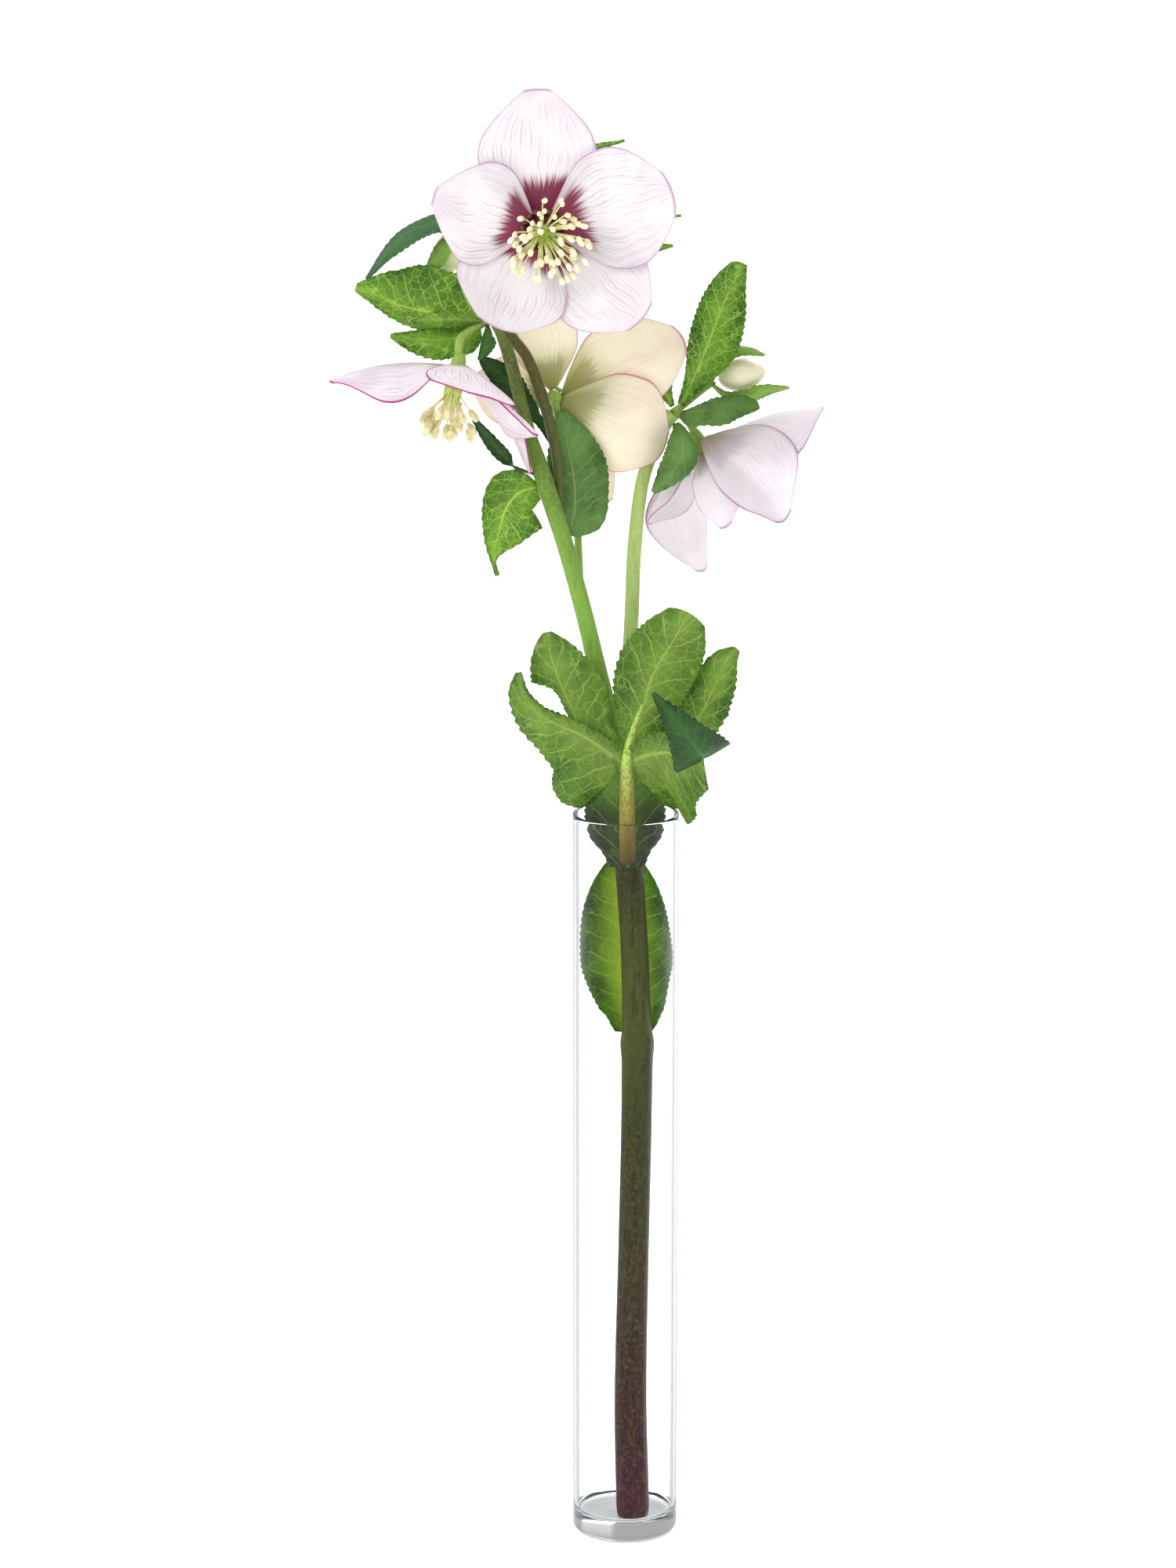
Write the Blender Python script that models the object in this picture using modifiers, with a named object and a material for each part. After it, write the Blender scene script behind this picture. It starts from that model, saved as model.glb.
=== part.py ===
"""Flowering hellebore stem standing in a slim glass vase.

Units in the tables are millimetres; meshes are in metres. +X is right, +Y is away from the
front view, +Z is up, and the origin is the middle of the vase's underside.
"""
import math
import random

import bmesh
import bpy
from mathutils import Vector

MM = 0.001
UP = Vector((0, 0, 1))
FRONT = Vector((0, -1, 0))

# Vase
VASE_HEIGHT = 227.0
VASE_RADIUS = 16.0
VASE_WALL = 1.05
VASE_FLOOR = 6.2
VASE_FILLET = 2.0
VASE_SEGMENTS = 40

# Living tissue
BLADE_THICKNESS = 0.6
SEPAL_LAYER = 1.15
RECEPTACLE_RADIUS = 2.2
CLAW_GAP = 0.35
SEAT_GAP = 0.3
DISC_RADIUS = 2.3
DISC_HEIGHT = 0.9
SEPAL_BEND = 0.35
SEPAL_SWEEP = 0.25
LEAF_ROWS = 12
LEAF_ROW_LENGTH = 3.4
LEAF_COLUMNS = 4
TOOTH_DEPTH = 0.05
WAVE_TURNS = 14
WAVE_PHASES = (1.3, 2.9)
TIP_SWEEP = 0.12
SEPAL_GRID = {"hero": (9, 6), "left": (8, 4), "centre": (8, 4), "right": (8, 4)}

# Stem routes: point, radius
MAIN_STEM = [((2.4, -8.0, 6.5), 4.55), ((2.3, -7.9, 9.0), 4.95), ((1.6, -6.2, 44.6), 4.85),
             ((2.4, -4.0, 89.3), 4.65), ((3.2, -1.5, 125.9), 4.65), ((3.5, 0.3, 150.0), 4.8),
             ((3.5, 0.6, 155.1), 5.2), ((3.4, 0.9, 160.0), 4.5), ((2.5, 2.5, 186.5), 4.15),
             ((0.9, 4.0, 210.0), 4.2), ((0.0, 4.8, 222.0), 4.0), ((-0.4, 5.0, 229.0), 3.4)]
LEFT_BRANCH = [((-0.1, 4.6, 220.0), 2.9), ((-0.9, 5.0, 230.0), 2.8), ((-2.9, 5.0, 246.6), 2.7),
               ((-8.1, 4.5, 268.3), 2.6), ((-12.7, 3.0, 287.7), 2.55), ((-17.8, 0.5, 307.1), 2.5),
               ((-22.2, -2.0, 321.7), 2.6), ((-25.2, -3.0, 331.2), 2.6), ((-28.8, -3.0, 342.2), 2.1),
               ((-33.2, -2.0, 360.2), 1.9), ((-36.6, -1.0, 371.6), 1.9), ((-38.9, 0.0, 376.7), 1.9),
               ((-37.5, 1.0, 385.1), 1.5), ((-36.1, 2.0, 389.6), 1.5)]
RIGHT_BRANCH = [((0.3, 5.2, 221.0), 2.6), ((1.1, 6.5, 231.7), 2.4), ((0.9, 8.0, 248.3), 2.3),
                ((0.9, 11.0, 266.9), 2.2), ((1.7, 14.0, 285.4), 2.15), ((2.5, 17.0, 304.0), 2.1),
                ((4.6, 20.0, 322.4), 2.0), ((7.4, 21.5, 331.7), 2.0), ((10.9, 22.0, 339.9), 2.2),
                ((13.9, 22.0, 344.1), 2.2)]
FLOWER_STALKS = {
    "hero": [((-20.6, -1.0, 317.0), 1.4), ((-20.0, 0.8, 326.0), 1.4), ((-20.7, 0.8, 335.0), 1.5),
             ((-22.4, -0.8, 344.0), 1.6), ((-24.6, -3.0, 352.5), 1.6), ((-29.2, -6.0, 365.4), 1.6),
             ((-34.2, -8.0, 372.6), 1.6), ((-36.4, -12.0, 380.1), 1.6),
             ((-35.1, -18.0, 391.2), 1.6), ((-30.5, -24.0, 400.5), 1.6)],
    "left": [((-38.9, -0.5, 375.9), 1.4), ((-43.0, -3.0, 374.4), 1.3), ((-46.1, -6.0, 372.6), 1.3),
             ((-48.6, -10.0, 370.6), 1.4)],
    "centre": [((-1.0, 5.0, 234.5), 1.1), ((-5.5, 9.2, 252.9), 1.1), ((-10.4, 10.0, 269.5), 1.1),
               ((-13.0, 10.0, 283.9), 1.1), ((-14.2, 10.0, 305.3), 1.1), ((-14.8, 10.0, 319.5), 1.1),
               ((-16.7, 9.0, 336.2), 1.1), ((-20.0, 6.6, 345.4), 1.2)],
    "right": [((13.9, 22.0, 344.1), 1.6), ((16.4, 23.2, 343.6), 1.4), ((18.5, 24.4, 341.8), 1.4)],
}
BUD_STALKS = {
    "left": [((-36.1, 2.0, 389.6), 1.2), ((-40.0, 5.0, 398.5), 1.1), ((-44.6, 7.0, 402.9), 1.1),
             ((-48.5, 7.5, 401.9), 1.1)],
    "right": [((13.9, 22.0, 344.1), 1.3), ((18.2, 27.0, 346.6), 1.1), ((22.5, 28.0, 350.0), 1.1),
              ((26.3, 27.5, 352.9), 1.1)],
}

# Flowers: middle of the receptacle, direction faced, and the sepals in order round the flower as
# name, layer (0 is outermost), tip, half-width left and right of its midrib, pointedness
FLOWERS = {
    "hero": ((-24.8, -31.0, 406.5), (0.10, -0.98, -0.10), [
        ("lower_right", 0, (4.6, -37.0, 380.9), 15.5, 17.0, 0.3),
        ("upper_right", 2, (13.0, -37.0, 417.3), 18.0, 18.5, 0.15),
        ("top", 0, (-25.8, -37.0, 447.0), 19.0, 18.0, 0.3),
        ("left", 2, (-55.2, -38.0, 416.6), 14.6, 15.0, 1.0),
        ("bottom", 1, (-37.5, -37.5, 378.4), 16.5, 17.5, 0.1)]),
    "left": ((-49.0, -12.0, 364.3), (-0.20, -0.10, -0.97), [
        ("front", 0, (-40.5, -40.0, 358.0), 15.5, 14.0, 0.2),
        ("front_right", 2, (-26.3, -24.0, 344.7), 9.0, 11.0, 0.3),
        ("back_right", 0, (-27.2, -9.5, 331.7), 7.0, 7.0, 0.6),
        ("back_left", 2, (-77.5, 8.0, 357.7), 11.0, 14.0, 0.6),
        ("left", 1, (-86.5, -18.0, 360.6), 16.0, 18.0, 0.9)]),
    "centre": ((-21.3, 9.0, 350.9), (0.20, 0.90, -0.38), [
        ("top_left", 0, (-27.5, 14.0, 383.0), 11.0, 11.0, 0.3),
        ("left", 2, (-45.0, 15.0, 354.5), 11.0, 11.0, 0.4),
        ("bottom", 1, (-5.7, 22.0, 316.5), 11.0, 10.0, 0.3),
        ("lower_right", 0, (12.0, 19.0, 334.0), 16.5, 15.5, 0.1),
        ("upper_right", 2, (17.0, 16.0, 368.2), 13.0, 13.5, 0.2)]),
    "right": ((21.5, 25.0, 335.8), (0.46, -0.06, -0.89), [
        ("upper_back", 2, (58.5, 38.0, 344.5), 15.5, 15.5, 0.6),
        ("front_right", 0, (47.0, 10.0, 314.0), 17.5, 17.5, 0.1),
        ("front", 2.6, (29.5, 4.0, 313.0), 8.0, 9.5, 0.3),
        ("left", 1.5, (6.6, 24.0, 310.0), 9.5, 9.5, 0.3),
        ("bottom", 0, (22.4, 36.0, 293.2), 14.5, 14.5, 0.3)]),
}
STAMENS = {"hero": 20, "left": 12, "centre": 6, "right": 6}
STAMEN_REACH = {"hero": (6.0, 11.5), "left": (2.5, 7.0), "centre": (2.5, 6.0), "right": (2.5, 6.0)}
STAMEN_HEIGHT = {"hero": (6.5, 9.0), "left": (12.0, 17.0), "centre": (8.0, 12.0),
                 "right": (8.0, 12.0)}
STAMEN_SAG = {"hero": (1.2, 0.0, -1.6), "left": (0.0, 0.0, 0.0), "centre": (0.0, 0.0, 0.0),
              "right": (0.0, 0.0, 0.0)}
NECTARIES = 8
HORN_REACH = 2.4
HORN_RISE = 2.2
HORN_RADII = (0.5, 0.75)
HEART_RADIUS = 1.4
HEART_HEIGHT = 1.5
FILAMENT_RADIUS = 0.3
NECK_RADIUS = 0.34
ANTHER_START = 0.6
ANTHER_RADIUS = 0.62
ANTHER_LENGTH = 2.2
CARPELS = 5

# Buds: top, bottom, greatest radius
BUDS = {"left": ((-49.2, 8.0, 401.2), (-54.2, 8.0, 387.0), 4.6),
        "right": ((27.6, 27.2, 353.4), (41.8, 27.0, 356.4), 4.8)}
BUD_OUTLINE = [(0.04, 0.30), (0.16, 0.66), (0.34, 0.95), (0.52, 1.0), (0.72, 0.86), (0.88, 0.52),
               (0.99, 0.12)]

# Half-width of a blade along its length, as a share of the greatest
SEPAL_OUTLINE = [(0.0, 0.10), (0.12, 0.40), (0.35, 0.86), (0.6, 1.0), (0.8, 0.93), (0.92, 0.72),
                 (1.0, 0.40)]
LEAF = [(0.0, 0.18), (0.15, 0.42), (0.38, 0.92), (0.55, 1.0), (0.75, 0.8), (0.9, 0.42), (1.0, 0.12)]
BROAD = [(0.0, 0.3), (0.12, 0.85), (0.35, 0.98), (0.55, 1.0), (0.75, 0.78), (0.9, 0.42),
         (1.0, 0.12)]
LOBE = [(0.0, 0.14), (0.2, 0.3), (0.45, 0.76), (0.68, 1.0), (0.86, 0.8), (0.95, 0.5), (1.0, 0.18)]
BLUNT = [(0.0, 0.12), (0.2, 0.45), (0.38, 0.82), (0.55, 0.98), (0.75, 1.0), (0.9, 0.84),
         (1.0, 0.5)]
WIDE = [(0.0, 0.12), (0.2, 0.45), (0.38, 0.82), (0.55, 1.0), (0.75, 0.92), (0.9, 0.62), (1.0, 0.14)]
FLAP = [(0.0, 0.92), (0.15, 1.0), (0.38, 0.72), (0.55, 0.5), (0.72, 0.36), (0.88, 0.22), (1.0, 0.06)]
SIDE_FLAP = [(0.0, 0.3), (0.45, 0.25), (0.64, 0.35), (0.76, 0.95), (0.86, 0.9), (0.95, 0.5),
             (1.0, 0.12)]
RISING = [(0.0, 0.35), (0.3, 0.6), (0.6, 0.8), (0.85, 0.98), (1.0, 1.0)]
HANGING = [(0.0, 0.7), (0.15, 0.92), (0.35, 1.0), (0.6, 0.9), (0.8, 0.66), (1.0, 0.42)]
POINTED = [(0.0, 1.0), (0.25, 0.84), (0.5, 0.58), (0.75, 0.33), (1.0, 0.06)]
DROOPING_LOW = [(0.0, 0.34), (0.12, 0.6), (0.25, 0.9), (0.45, 1.0), (0.65, 0.6), (0.84, 0.1),
                (1.0, 0.05)]
DROOPING_HIGH = [(0.0, 0.2), (0.1, 0.65), (0.22, 1.0), (0.42, 0.78), (0.65, 0.5), (0.85, 0.12),
                 (1.0, 0.06)]
SHEATH = [(0.0, 0.45), (0.12, 0.62), (0.22, 0.88), (0.38, 1.0), (0.6, 1.0), (0.8, 0.96), (1.0, 0.9)]
CLASPING = [(0.0, 0.42), (0.15, 0.72), (0.4, 0.98), (0.55, 1.0), (0.8, 0.9), (0.93, 0.7),
            (1.0, 0.45)]

# A blade: midrib points, side faced (one, or one at each point), left and right half as greatest
# half-width, outline and bend in radians (towards the side faced), and the depth of its waves
LEAVES = {
    "upper_leaf_drooping": (
        [(-40.0, 2.2, 393.9), (-46.0, 1.0, 400.8), (-52.5, 0.0, 404.0), (-60.4, -1.0, 402.8),
         (-67.7, -2.0, 397.7), (-76.0, -3.0, 387.8)],
        (-0.35, -0.45, 0.85), (5.5, LEAF, -0.3), (5.5, LEAF, -0.3), 0.3),
    "upper_leaf_large": (
        [(-41.7, 0.0, 375.1), (-49.2, 1.8, 375.6), (-57.5, 2.0, 377.0), (-66.5, 3.0, 379.2),
         (-73.4, 4.0, 381.9), (-79.6, 5.0, 383.8)],
        (0.0, -1.0, 0.1), (5.6, BROAD, 0.3), (14.0, BROAD, 0.35), 0.7),
    "upper_leaf_fold": (
        [(-42.4, -4.2, 375.7), (-49.1, -5.6, 376.2), (-55.9, -5.8, 376.2), (-62.6, -4.6, 375.5)],
        (0.0, -0.8, 0.6), (3.4, LEAF, 0.5), (3.2, LEAF, 0.5), 0.1),
    "upper_leaf_lower": (
        [(-42.5, -1.6, 371.9), (-50.4, -1.6, 370.4), (-58.4, -1.6, 369.8), (-69.2, -0.5, 370.9)],
        (0.0, -1.0, 0.0), (6.2, BROAD, 0.3), (3.6, BROAD, 0.2), 0.4),
    "upper_leaf_small": (
        [(-40.6, -3.7, 374.6), (-41.0, -7.4, 369.4), (-43.2, -7.2, 364.6)],
        (0.6, -0.8, 0.0), (3.2, LEAF, 0.5), (2.6, LEAF, 0.5), 0.1),
    "middle_leaf_dark": (
        [(-22.3, 2.3, 338.7), (-26.0, 4.6, 345.0), (-31.0, 5.0, 351.2), (-36.3, 4.6, 357.9),
         (-42.9, 4.0, 363.4)],
        (0.0, -1.0, 0.1), (4.6, LOBE, 0.3), (4.4, LOBE, 0.3), 0.3),
    "middle_leaf_left": (
        [(-26.4, 0.1, 325.8), (-31.6, -0.4, 324.2), (-35.6, -1.4, 319.5), (-37.7, -2.0, 312.5),
         (-39.3, -2.4, 305.2), (-38.2, -2.4, 299.6)],
        (0.0, -1.0, 0.0), (12.2, DROOPING_LOW, 0.3), (9.2, DROOPING_HIGH, 0.4), 0.4),
    "middle_leaf_narrow": (
        [(-27.3, -5.2, 330.7), (-32.8, -8.0, 333.2), (-38.4, -8.4, 339.1), (-42.8, -8.2, 344.9),
         (-46.0, -8.0, 349.8)],
        (-0.65, -0.15, 0.8), (4.0, LEAF, 0.35), (4.0, LEAF, 0.35), 0.2),
    "middle_leaf_right": (
        [(-17.4, 3.1, 310.8), (-15.4, 4.2, 318.6), (-15.8, 5.0, 328.7), (-17.8, 5.4, 339.1),
         (-19.6, 3.6, 347.6)],
        (0.1, -1.0, 0.0), (6.4, BROAD, 0.1), (9.2, BROAD, -0.6), 0.5),
    "right_leaf_upright": (
        [(16.2, 23.4, 346.6), (19.4, 23.0, 352.8), (23.6, 22.6, 363.0), (28.0, 23.0, 374.6),
         (31.2, 23.0, 382.1), (34.8, 23.0, 388.8)],
        (0.0, -1.0, 0.0), (7.2, BLUNT, 0.35), (9.4, LEAF, 0.35), 0.5),
    "right_leaf_curled": (
        [(16.3, 21.0, 344.1), (21.2, 17.8, 345.4), (26.4, 17.0, 345.9), (32.9, 17.0, 346.8),
         (39.6, 18.5, 346.6)],
        (0.0, -0.75, 0.65), (4.2, BLUNT, 0.6), (5.2, BROAD, -0.5), 0.3),
    "right_leaf_drooping": (
        [(14.9, 20.3, 341.5), (16.2, 14.6, 338.8), (16.6, 13.4, 332.4), (12.6, 13.4, 326.5),
         (8.0, 14.0, 321.6)],
        (0.0, -1.0, 0.1), (5.0, LEAF, -0.5), (5.8, LEAF, 0.4), 0.3),
    "right_leaf_inner": (
        [(13.9, 24.2, 345.8), (10.9, 25.4, 351.4), (8.9, 25.4, 356.4), (7.4, 25.0, 361.0)],
        (0.0, -1.0, 0.0), (3.6, LEAF, 0.3), (3.6, LEAF, 0.3), 0.2),
    "back_leaf_upper": (
        [(-35.1, 2.8, 391.3), (-25.1, 4.0, 408.4), (-14.1, 2.0, 423.0), (-0.7, 0.0, 427.8)],
        (-0.5, -0.2, 0.85), (4.6, LEAF, 0.2), (4.6, LEAF, 0.2), 0.3),
    "back_leaf_middle": (
        [(-34.5, 3.3, 389.0), (-18.2, 6.0, 398.6), (0.1, 4.0, 404.0), (15.8, 0.0, 405.9)],
        (-0.2, -0.2, 0.95), (4.2, LEAF, 0.2), (4.2, LEAF, 0.2), 0.3),
    "back_leaf_lower": (
        [(-34.6, 2.6, 387.9), (-18.2, 4.4, 390.6), (0.1, 2.4, 394.6), (13.4, 0.0, 397.2)],
        (-0.1, -0.9, 0.4), (3.4, LEAF, 0.2), (3.4, LEAF, 0.2), 0.3),
    "vase_leaf": (
        [(2.6, 7.0, 156.7), (2.4, 9.6, 163.5), (1.0, 12.4, 175.0), (-0.3, 13.7, 190.8),
         (-0.3, 13.7, 209.5)],
        (0.0, -1.0, 0.0), (20.2, CLASPING, 1.39), (20.2, CLASPING, 1.39), 0.15),
    "bud_bract_left": (
        [(-48.5, 5.6, 401.5), (-52.6, 1.8, 398.0), (-55.2, 2.0, 394.0), (-57.6, 3.2, 389.6),
         (-59.0, 4.2, 385.6)],
        (-0.5, -0.8, 0.1), (3.2, LEAF, -0.6), (3.2, LEAF, -0.6), 0.0),
    "bud_bract_lower": (
        [(25.7, 25.8, 351.8), (31.0, 22.6, 348.6), (36.0, 22.2, 349.0), (42.0, 22.6, 350.8),
         (48.6, 23.6, 351.6)],
        (0.0, -0.8, -0.6), (3.4, LEAF, -0.3), (3.6, LEAF, -0.5), 0.1),
    "bud_bract_upper": (
        [(25.5, 27.5, 354.5), (28.0, 26.6, 359.8), (32.0, 26.0, 362.4), (36.6, 26.0, 362.4),
         (41.4, 26.0, 361.0)],
        (0.0, -0.6, 0.8), (2.8, LEAF, -0.6), (2.8, LEAF, -0.6), 0.1),
}

# The bract at the rim: five lobes on one broad stalk, with a sheath that starts inside the vase
BRACT_STALK = [((0.6, -2.0, 212.5), 1.5), ((0.4, -3.2, 224.4), 1.7), ((0.3, -4.4, 236.0), 1.7),
               ((0.4, -5.2, 246.0), 1.4), ((2.2, -5.0, 254.0), 0.9), ((4.9, -4.6, 261.3), 0.6)]
LOBE_FRONT = (0.0, -1.0, 0.0)
BRACT_LOBES = {
    "middle": (
        [(0.6, -5.0, 243.0), (4.6, -4.4, 258.0), (7.9, -3.4, 269.7), (14.1, -2.0, 280.2),
         (18.6, -1.5, 288.2)],
        (0.0, -1.0, -0.1), (12.0, BLUNT, -0.2), (12.6, BLUNT, -0.2), 0.5),
    "upper_left": (
        [(0.3, -5.4, 241.8), (-6.2, -6.0, 248.6), (-12.5, -7.0, 253.4), (-18.4, -6.4, 264.9),
         (-21.8, -7.0, 274.6), (-23.8, -9.0, 283.8)],
        LOBE_FRONT, (8.4, SIDE_FLAP, -0.3), (12.8, WIDE, -0.25), 0.4),
    "lower_left": (
        [(0.1, -4.6, 243.0), (-6.2, -6.6, 248.0), (-12.7, -9.0, 252.8), (-19.7, -11.0, 256.2),
         (-25.9, -12.0, 260.0), (-30.3, -12.5, 266.2), (-31.4, -12.5, 272.6)],
        LOBE_FRONT, (23.0, FLAP, -0.5), (3.8, BROAD, 0.2), 0.7),
    "lower_right": (
        [(0.6, -4.6, 243.4), (6.6, -9.0, 247.2), (14.5, -17.0, 249.4), (22.4, -26.2, 250.2)],
        LOBE_FRONT, (9.6, RISING, 0.1), (25.0, HANGING, -0.3), 0.5),
    "folded_end": (
        [(22.8, -25.4, 249.4), (21.0, -29.0, 252.6), (15.6, -31.6, 260.4), (7.6, -33.0, 270.8)],
        LOBE_FRONT, (9.8, POINTED, -0.1), (9.4, POINTED, -0.1), 0.2),
    "upper_right": (
        [(1.1, -3.1, 242.2), (10.8, -1.5, 248.0), (20.5, 1.0, 254.4), (26.0, 2.2, 264.3),
         (29.5, 2.2, 272.4), (33.0, 2.0, 276.6)],
        LOBE_FRONT, (9.0, WIDE, -0.2), (7.8, WIDE, -0.2), 0.3),
    "sheath": (
        [(0.6, -2.6, 210.5), (0.4, -3.8, 224.0), (0.3, -4.8, 236.0), (0.3, -5.4, 246.0)],
        LOBE_FRONT, (14.6, SHEATH, -0.85), (13.2, SHEATH, -0.85), 0.3),
}

COLOURS = {
    "glass": ((0.93, 0.96, 0.96, 1), 0.02),
    "stem": ((0.20, 0.24, 0.08, 1), 0.45),
    "leaf": ((0.10, 0.30, 0.05, 1), 0.4),
    "sepal": ((0.90, 0.84, 0.86, 1), 0.5),
    "cream_sepal": ((0.85, 0.80, 0.62, 1), 0.5),
    "nectary": ((0.22, 0.02, 0.05, 1), 0.4),
    "stamen": ((0.86, 0.82, 0.52, 1), 0.5),
    "bud": ((0.80, 0.80, 0.55, 1), 0.45),
}


def clear_scene():
    for obj in list(bpy.data.objects):
        bpy.data.objects.remove(obj, do_unlink=True)


def make_material(name):
    colour, roughness = COLOURS[name]
    material = bpy.data.materials.new(name)
    material.use_nodes = True
    shader = material.node_tree.nodes["Principled BSDF"]
    shader.inputs["Base Color"].default_value = colour
    shader.inputs["Roughness"].default_value = roughness
    shader.inputs["Metallic"].default_value = 0.0
    if name == "glass":
        shader.inputs["Transmission Weight"].default_value = 1.0
    return material


def add_object(name, mesh, material, collection):
    obj = bpy.data.objects.new(name, mesh)
    mesh.materials.clear()
    mesh.materials.append(material)
    collection.objects.link(obj)
    return obj


def lerp(a, b, t):
    return a + (b - a) * t


def smooth_value(points, t):
    """Value at t of a smooth line through (t, value) pairs."""
    last = len(points) - 1
    i = 0
    while i < last - 1 and t > points[i + 1][0]:
        i += 1
    before, left, right, after = (points[max(i - 1, 0)], points[i], points[i + 1],
                                  points[min(i + 2, last)])
    span = right[0] - left[0]
    x = min(max((t - left[0]) / span, 0.0), 1.0)
    slope_left = (right[1] - before[1]) / (right[0] - before[0]) * span
    slope_right = (after[1] - left[1]) / (after[0] - left[0]) * span
    return (left[1] * (2 * x ** 3 - 3 * x ** 2 + 1) + slope_left * (x ** 3 - 2 * x ** 2 + x)
            + right[1] * (3 * x ** 2 - 2 * x ** 3) + slope_right * (x ** 3 - x ** 2))


class Route:
    """Smooth line through points, read by its share of the length."""

    def __init__(self, points):
        self.points = [Vector(p) for p in points]
        lengths = [(b - a).length for a, b in zip(self.points, self.points[1:])]
        self.length = sum(lengths)
        self.stations = [sum(lengths[:i]) / self.length for i in range(len(self.points))]

    def at(self, t):
        return Vector(smooth_value([(s, p[axis]) for s, p in zip(self.stations, self.points)], t)
                      for axis in range(3))

    def direction(self, t):
        step = 0.01
        return (self.at(min(t + step, 1)) - self.at(max(t - step, 0))).normalized()


def sheet(name, rows, columns, place, material, collection):
    """A grid whose point (u, v), u in 0..1 and v in -1..1, is moved to place(u, v)."""
    mesh = bpy.data.meshes.new(name)
    bm = bmesh.new()
    bmesh.ops.create_grid(bm, x_segments=rows, y_segments=columns, size=0.5)
    for vert in bm.verts:
        vert.co = place(vert.co.x + 0.5, 2 * vert.co.y) * MM
    bmesh.ops.triangulate(bm, faces=bm.faces[:], quad_method="SHORT_EDGE")
    bm.to_mesh(mesh)
    bm.free()
    mesh.shade_smooth()
    obj = add_object(name, mesh, material, collection)
    solid = obj.modifiers.new("Thickness", "SOLIDIFY")
    solid.thickness = BLADE_THICKNESS * MM
    solid.offset = 0.0
    return obj


def leaf_place(midrib, faced, left_half, right_half, wave, rows):
    """Point of a leaf blade: across the midrib each half is an arc, with waves and teeth."""
    route = Route(midrib)
    towards = Vector(faced)

    def place(u, v):
        width, outline, bend = left_half if v > 0 else right_half
        share = abs(v)
        reach = smooth_value(outline, u)
        width *= reach
        if round(u * rows) % 2:
            width *= 1 - TOOTH_DEPTH * share
        t = u * (1 - TIP_SWEEP * (share * reach) ** 2 * u ** 2)
        along = route.direction(t)
        normal = (towards - along * towards.dot(along)).normalized()
        left = normal.cross(along)
        across = width / bend * math.sin(bend * share)
        rise = width / bend * (1 - math.cos(bend * share))
        phase = WAVE_PHASES[0] if v > 0 else WAVE_PHASES[1]
        rise += wave * share ** 2 * math.sin(u * WAVE_TURNS + phase) * min(1.0, 4 * u * (1 - u))
        return route.at(t) + left * math.copysign(across, v) + normal * rise

    return place


def add_leaf(name, spec, material, collection):
    midrib = spec[0]
    rows = min(LEAF_ROWS, max(LEAF_ROWS // 2, 2 * round(Route(midrib).length / LEAF_ROW_LENGTH / 2)))
    return sheet(name, rows, LEAF_COLUMNS, leaf_place(*spec, rows), material, collection)


def tube(name, route_points, sides, material, collection, samples_per_point=2):
    """Round tube along a smooth route of (point, radius) pairs, as a closed mesh."""
    route = Route([point for point, _ in route_points])
    radii = [(station, radius) for station, (_, radius) in zip(route.stations, route_points)]
    count = (len(route_points) - 1) * samples_per_point + 1
    curve = bpy.data.curves.new(name, "CURVE")
    curve.dimensions = "3D"
    curve.bevel_depth = MM
    curve.bevel_resolution = sides // 2 - 2
    curve.use_fill_caps = True
    spline = curve.splines.new("POLY")
    spline.points.add(count - 1)
    for i in range(count):
        share = i / (count - 1) * (len(route.stations) - 1)
        k = min(int(share), len(route.stations) - 2)
        t = lerp(route.stations[k], route.stations[k + 1], share - k)
        spline.points[i].co = (*(route.at(t) * MM), 1)
        spline.points[i].radius = smooth_value(radii, t)
    guide = bpy.data.objects.new(name + "_curve", curve)
    collection.objects.link(guide)
    bpy.context.view_layer.update()
    evaluated = guide.evaluated_get(bpy.context.evaluated_depsgraph_get())
    mesh = bpy.data.meshes.new_from_object(evaluated)
    bm = bmesh.new()
    bm.from_mesh(mesh)
    bmesh.ops.remove_doubles(bm, verts=bm.verts[:], dist=0.00001)
    bmesh.ops.recalc_face_normals(bm, faces=bm.faces[:])
    bm.to_mesh(mesh)
    bm.free()
    bpy.data.objects.remove(guide, do_unlink=True)
    return add_object(name, mesh, material, collection)


def apply_modifiers(obj):
    bpy.context.view_layer.update()
    evaluated = obj.evaluated_get(bpy.context.evaluated_depsgraph_get())
    mesh = bpy.data.meshes.new_from_object(evaluated)
    obj.modifiers.clear()
    obj.data = mesh


def fuse(base, others, solver="EXACT"):
    """One Boolean union of the others onto the base, applied; the others are removed."""
    group = bpy.data.collections.new(base.name + "_pieces")
    for piece in others:
        for owner in list(piece.users_collection):
            owner.objects.unlink(piece)
        group.objects.link(piece)
    bpy.context.scene.collection.children.link(group)
    union = base.modifiers.new("Union", "BOOLEAN")
    union.operation = "UNION"
    union.operand_type = "COLLECTION"
    union.collection = group
    union.solver = solver
    apply_modifiers(base)
    for piece in others:
        bpy.data.objects.remove(piece, do_unlink=True)
    bpy.data.collections.remove(group)
    return base


def turned(name, profile, segments, material, collection):
    """Solid turned about Z from a profile of (radius, height) points, top to bottom outside."""
    mesh = bpy.data.meshes.new(name)
    bm = bmesh.new()
    verts = [bm.verts.new(Vector((r, 0, z)) * MM) for r, z in profile]
    for a, b in zip(verts, verts[1:]):
        bm.edges.new((a, b))
    bm.to_mesh(mesh)
    bm.free()
    obj = add_object(name, mesh, material, collection)
    screw = obj.modifiers.new("Turn", "SCREW")
    screw.axis = "Z"
    screw.steps = segments
    screw.render_steps = segments
    screw.use_merge_vertices = True
    screw.merge_threshold = 0.00001
    screw.use_smooth_shade = True
    return obj


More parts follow.
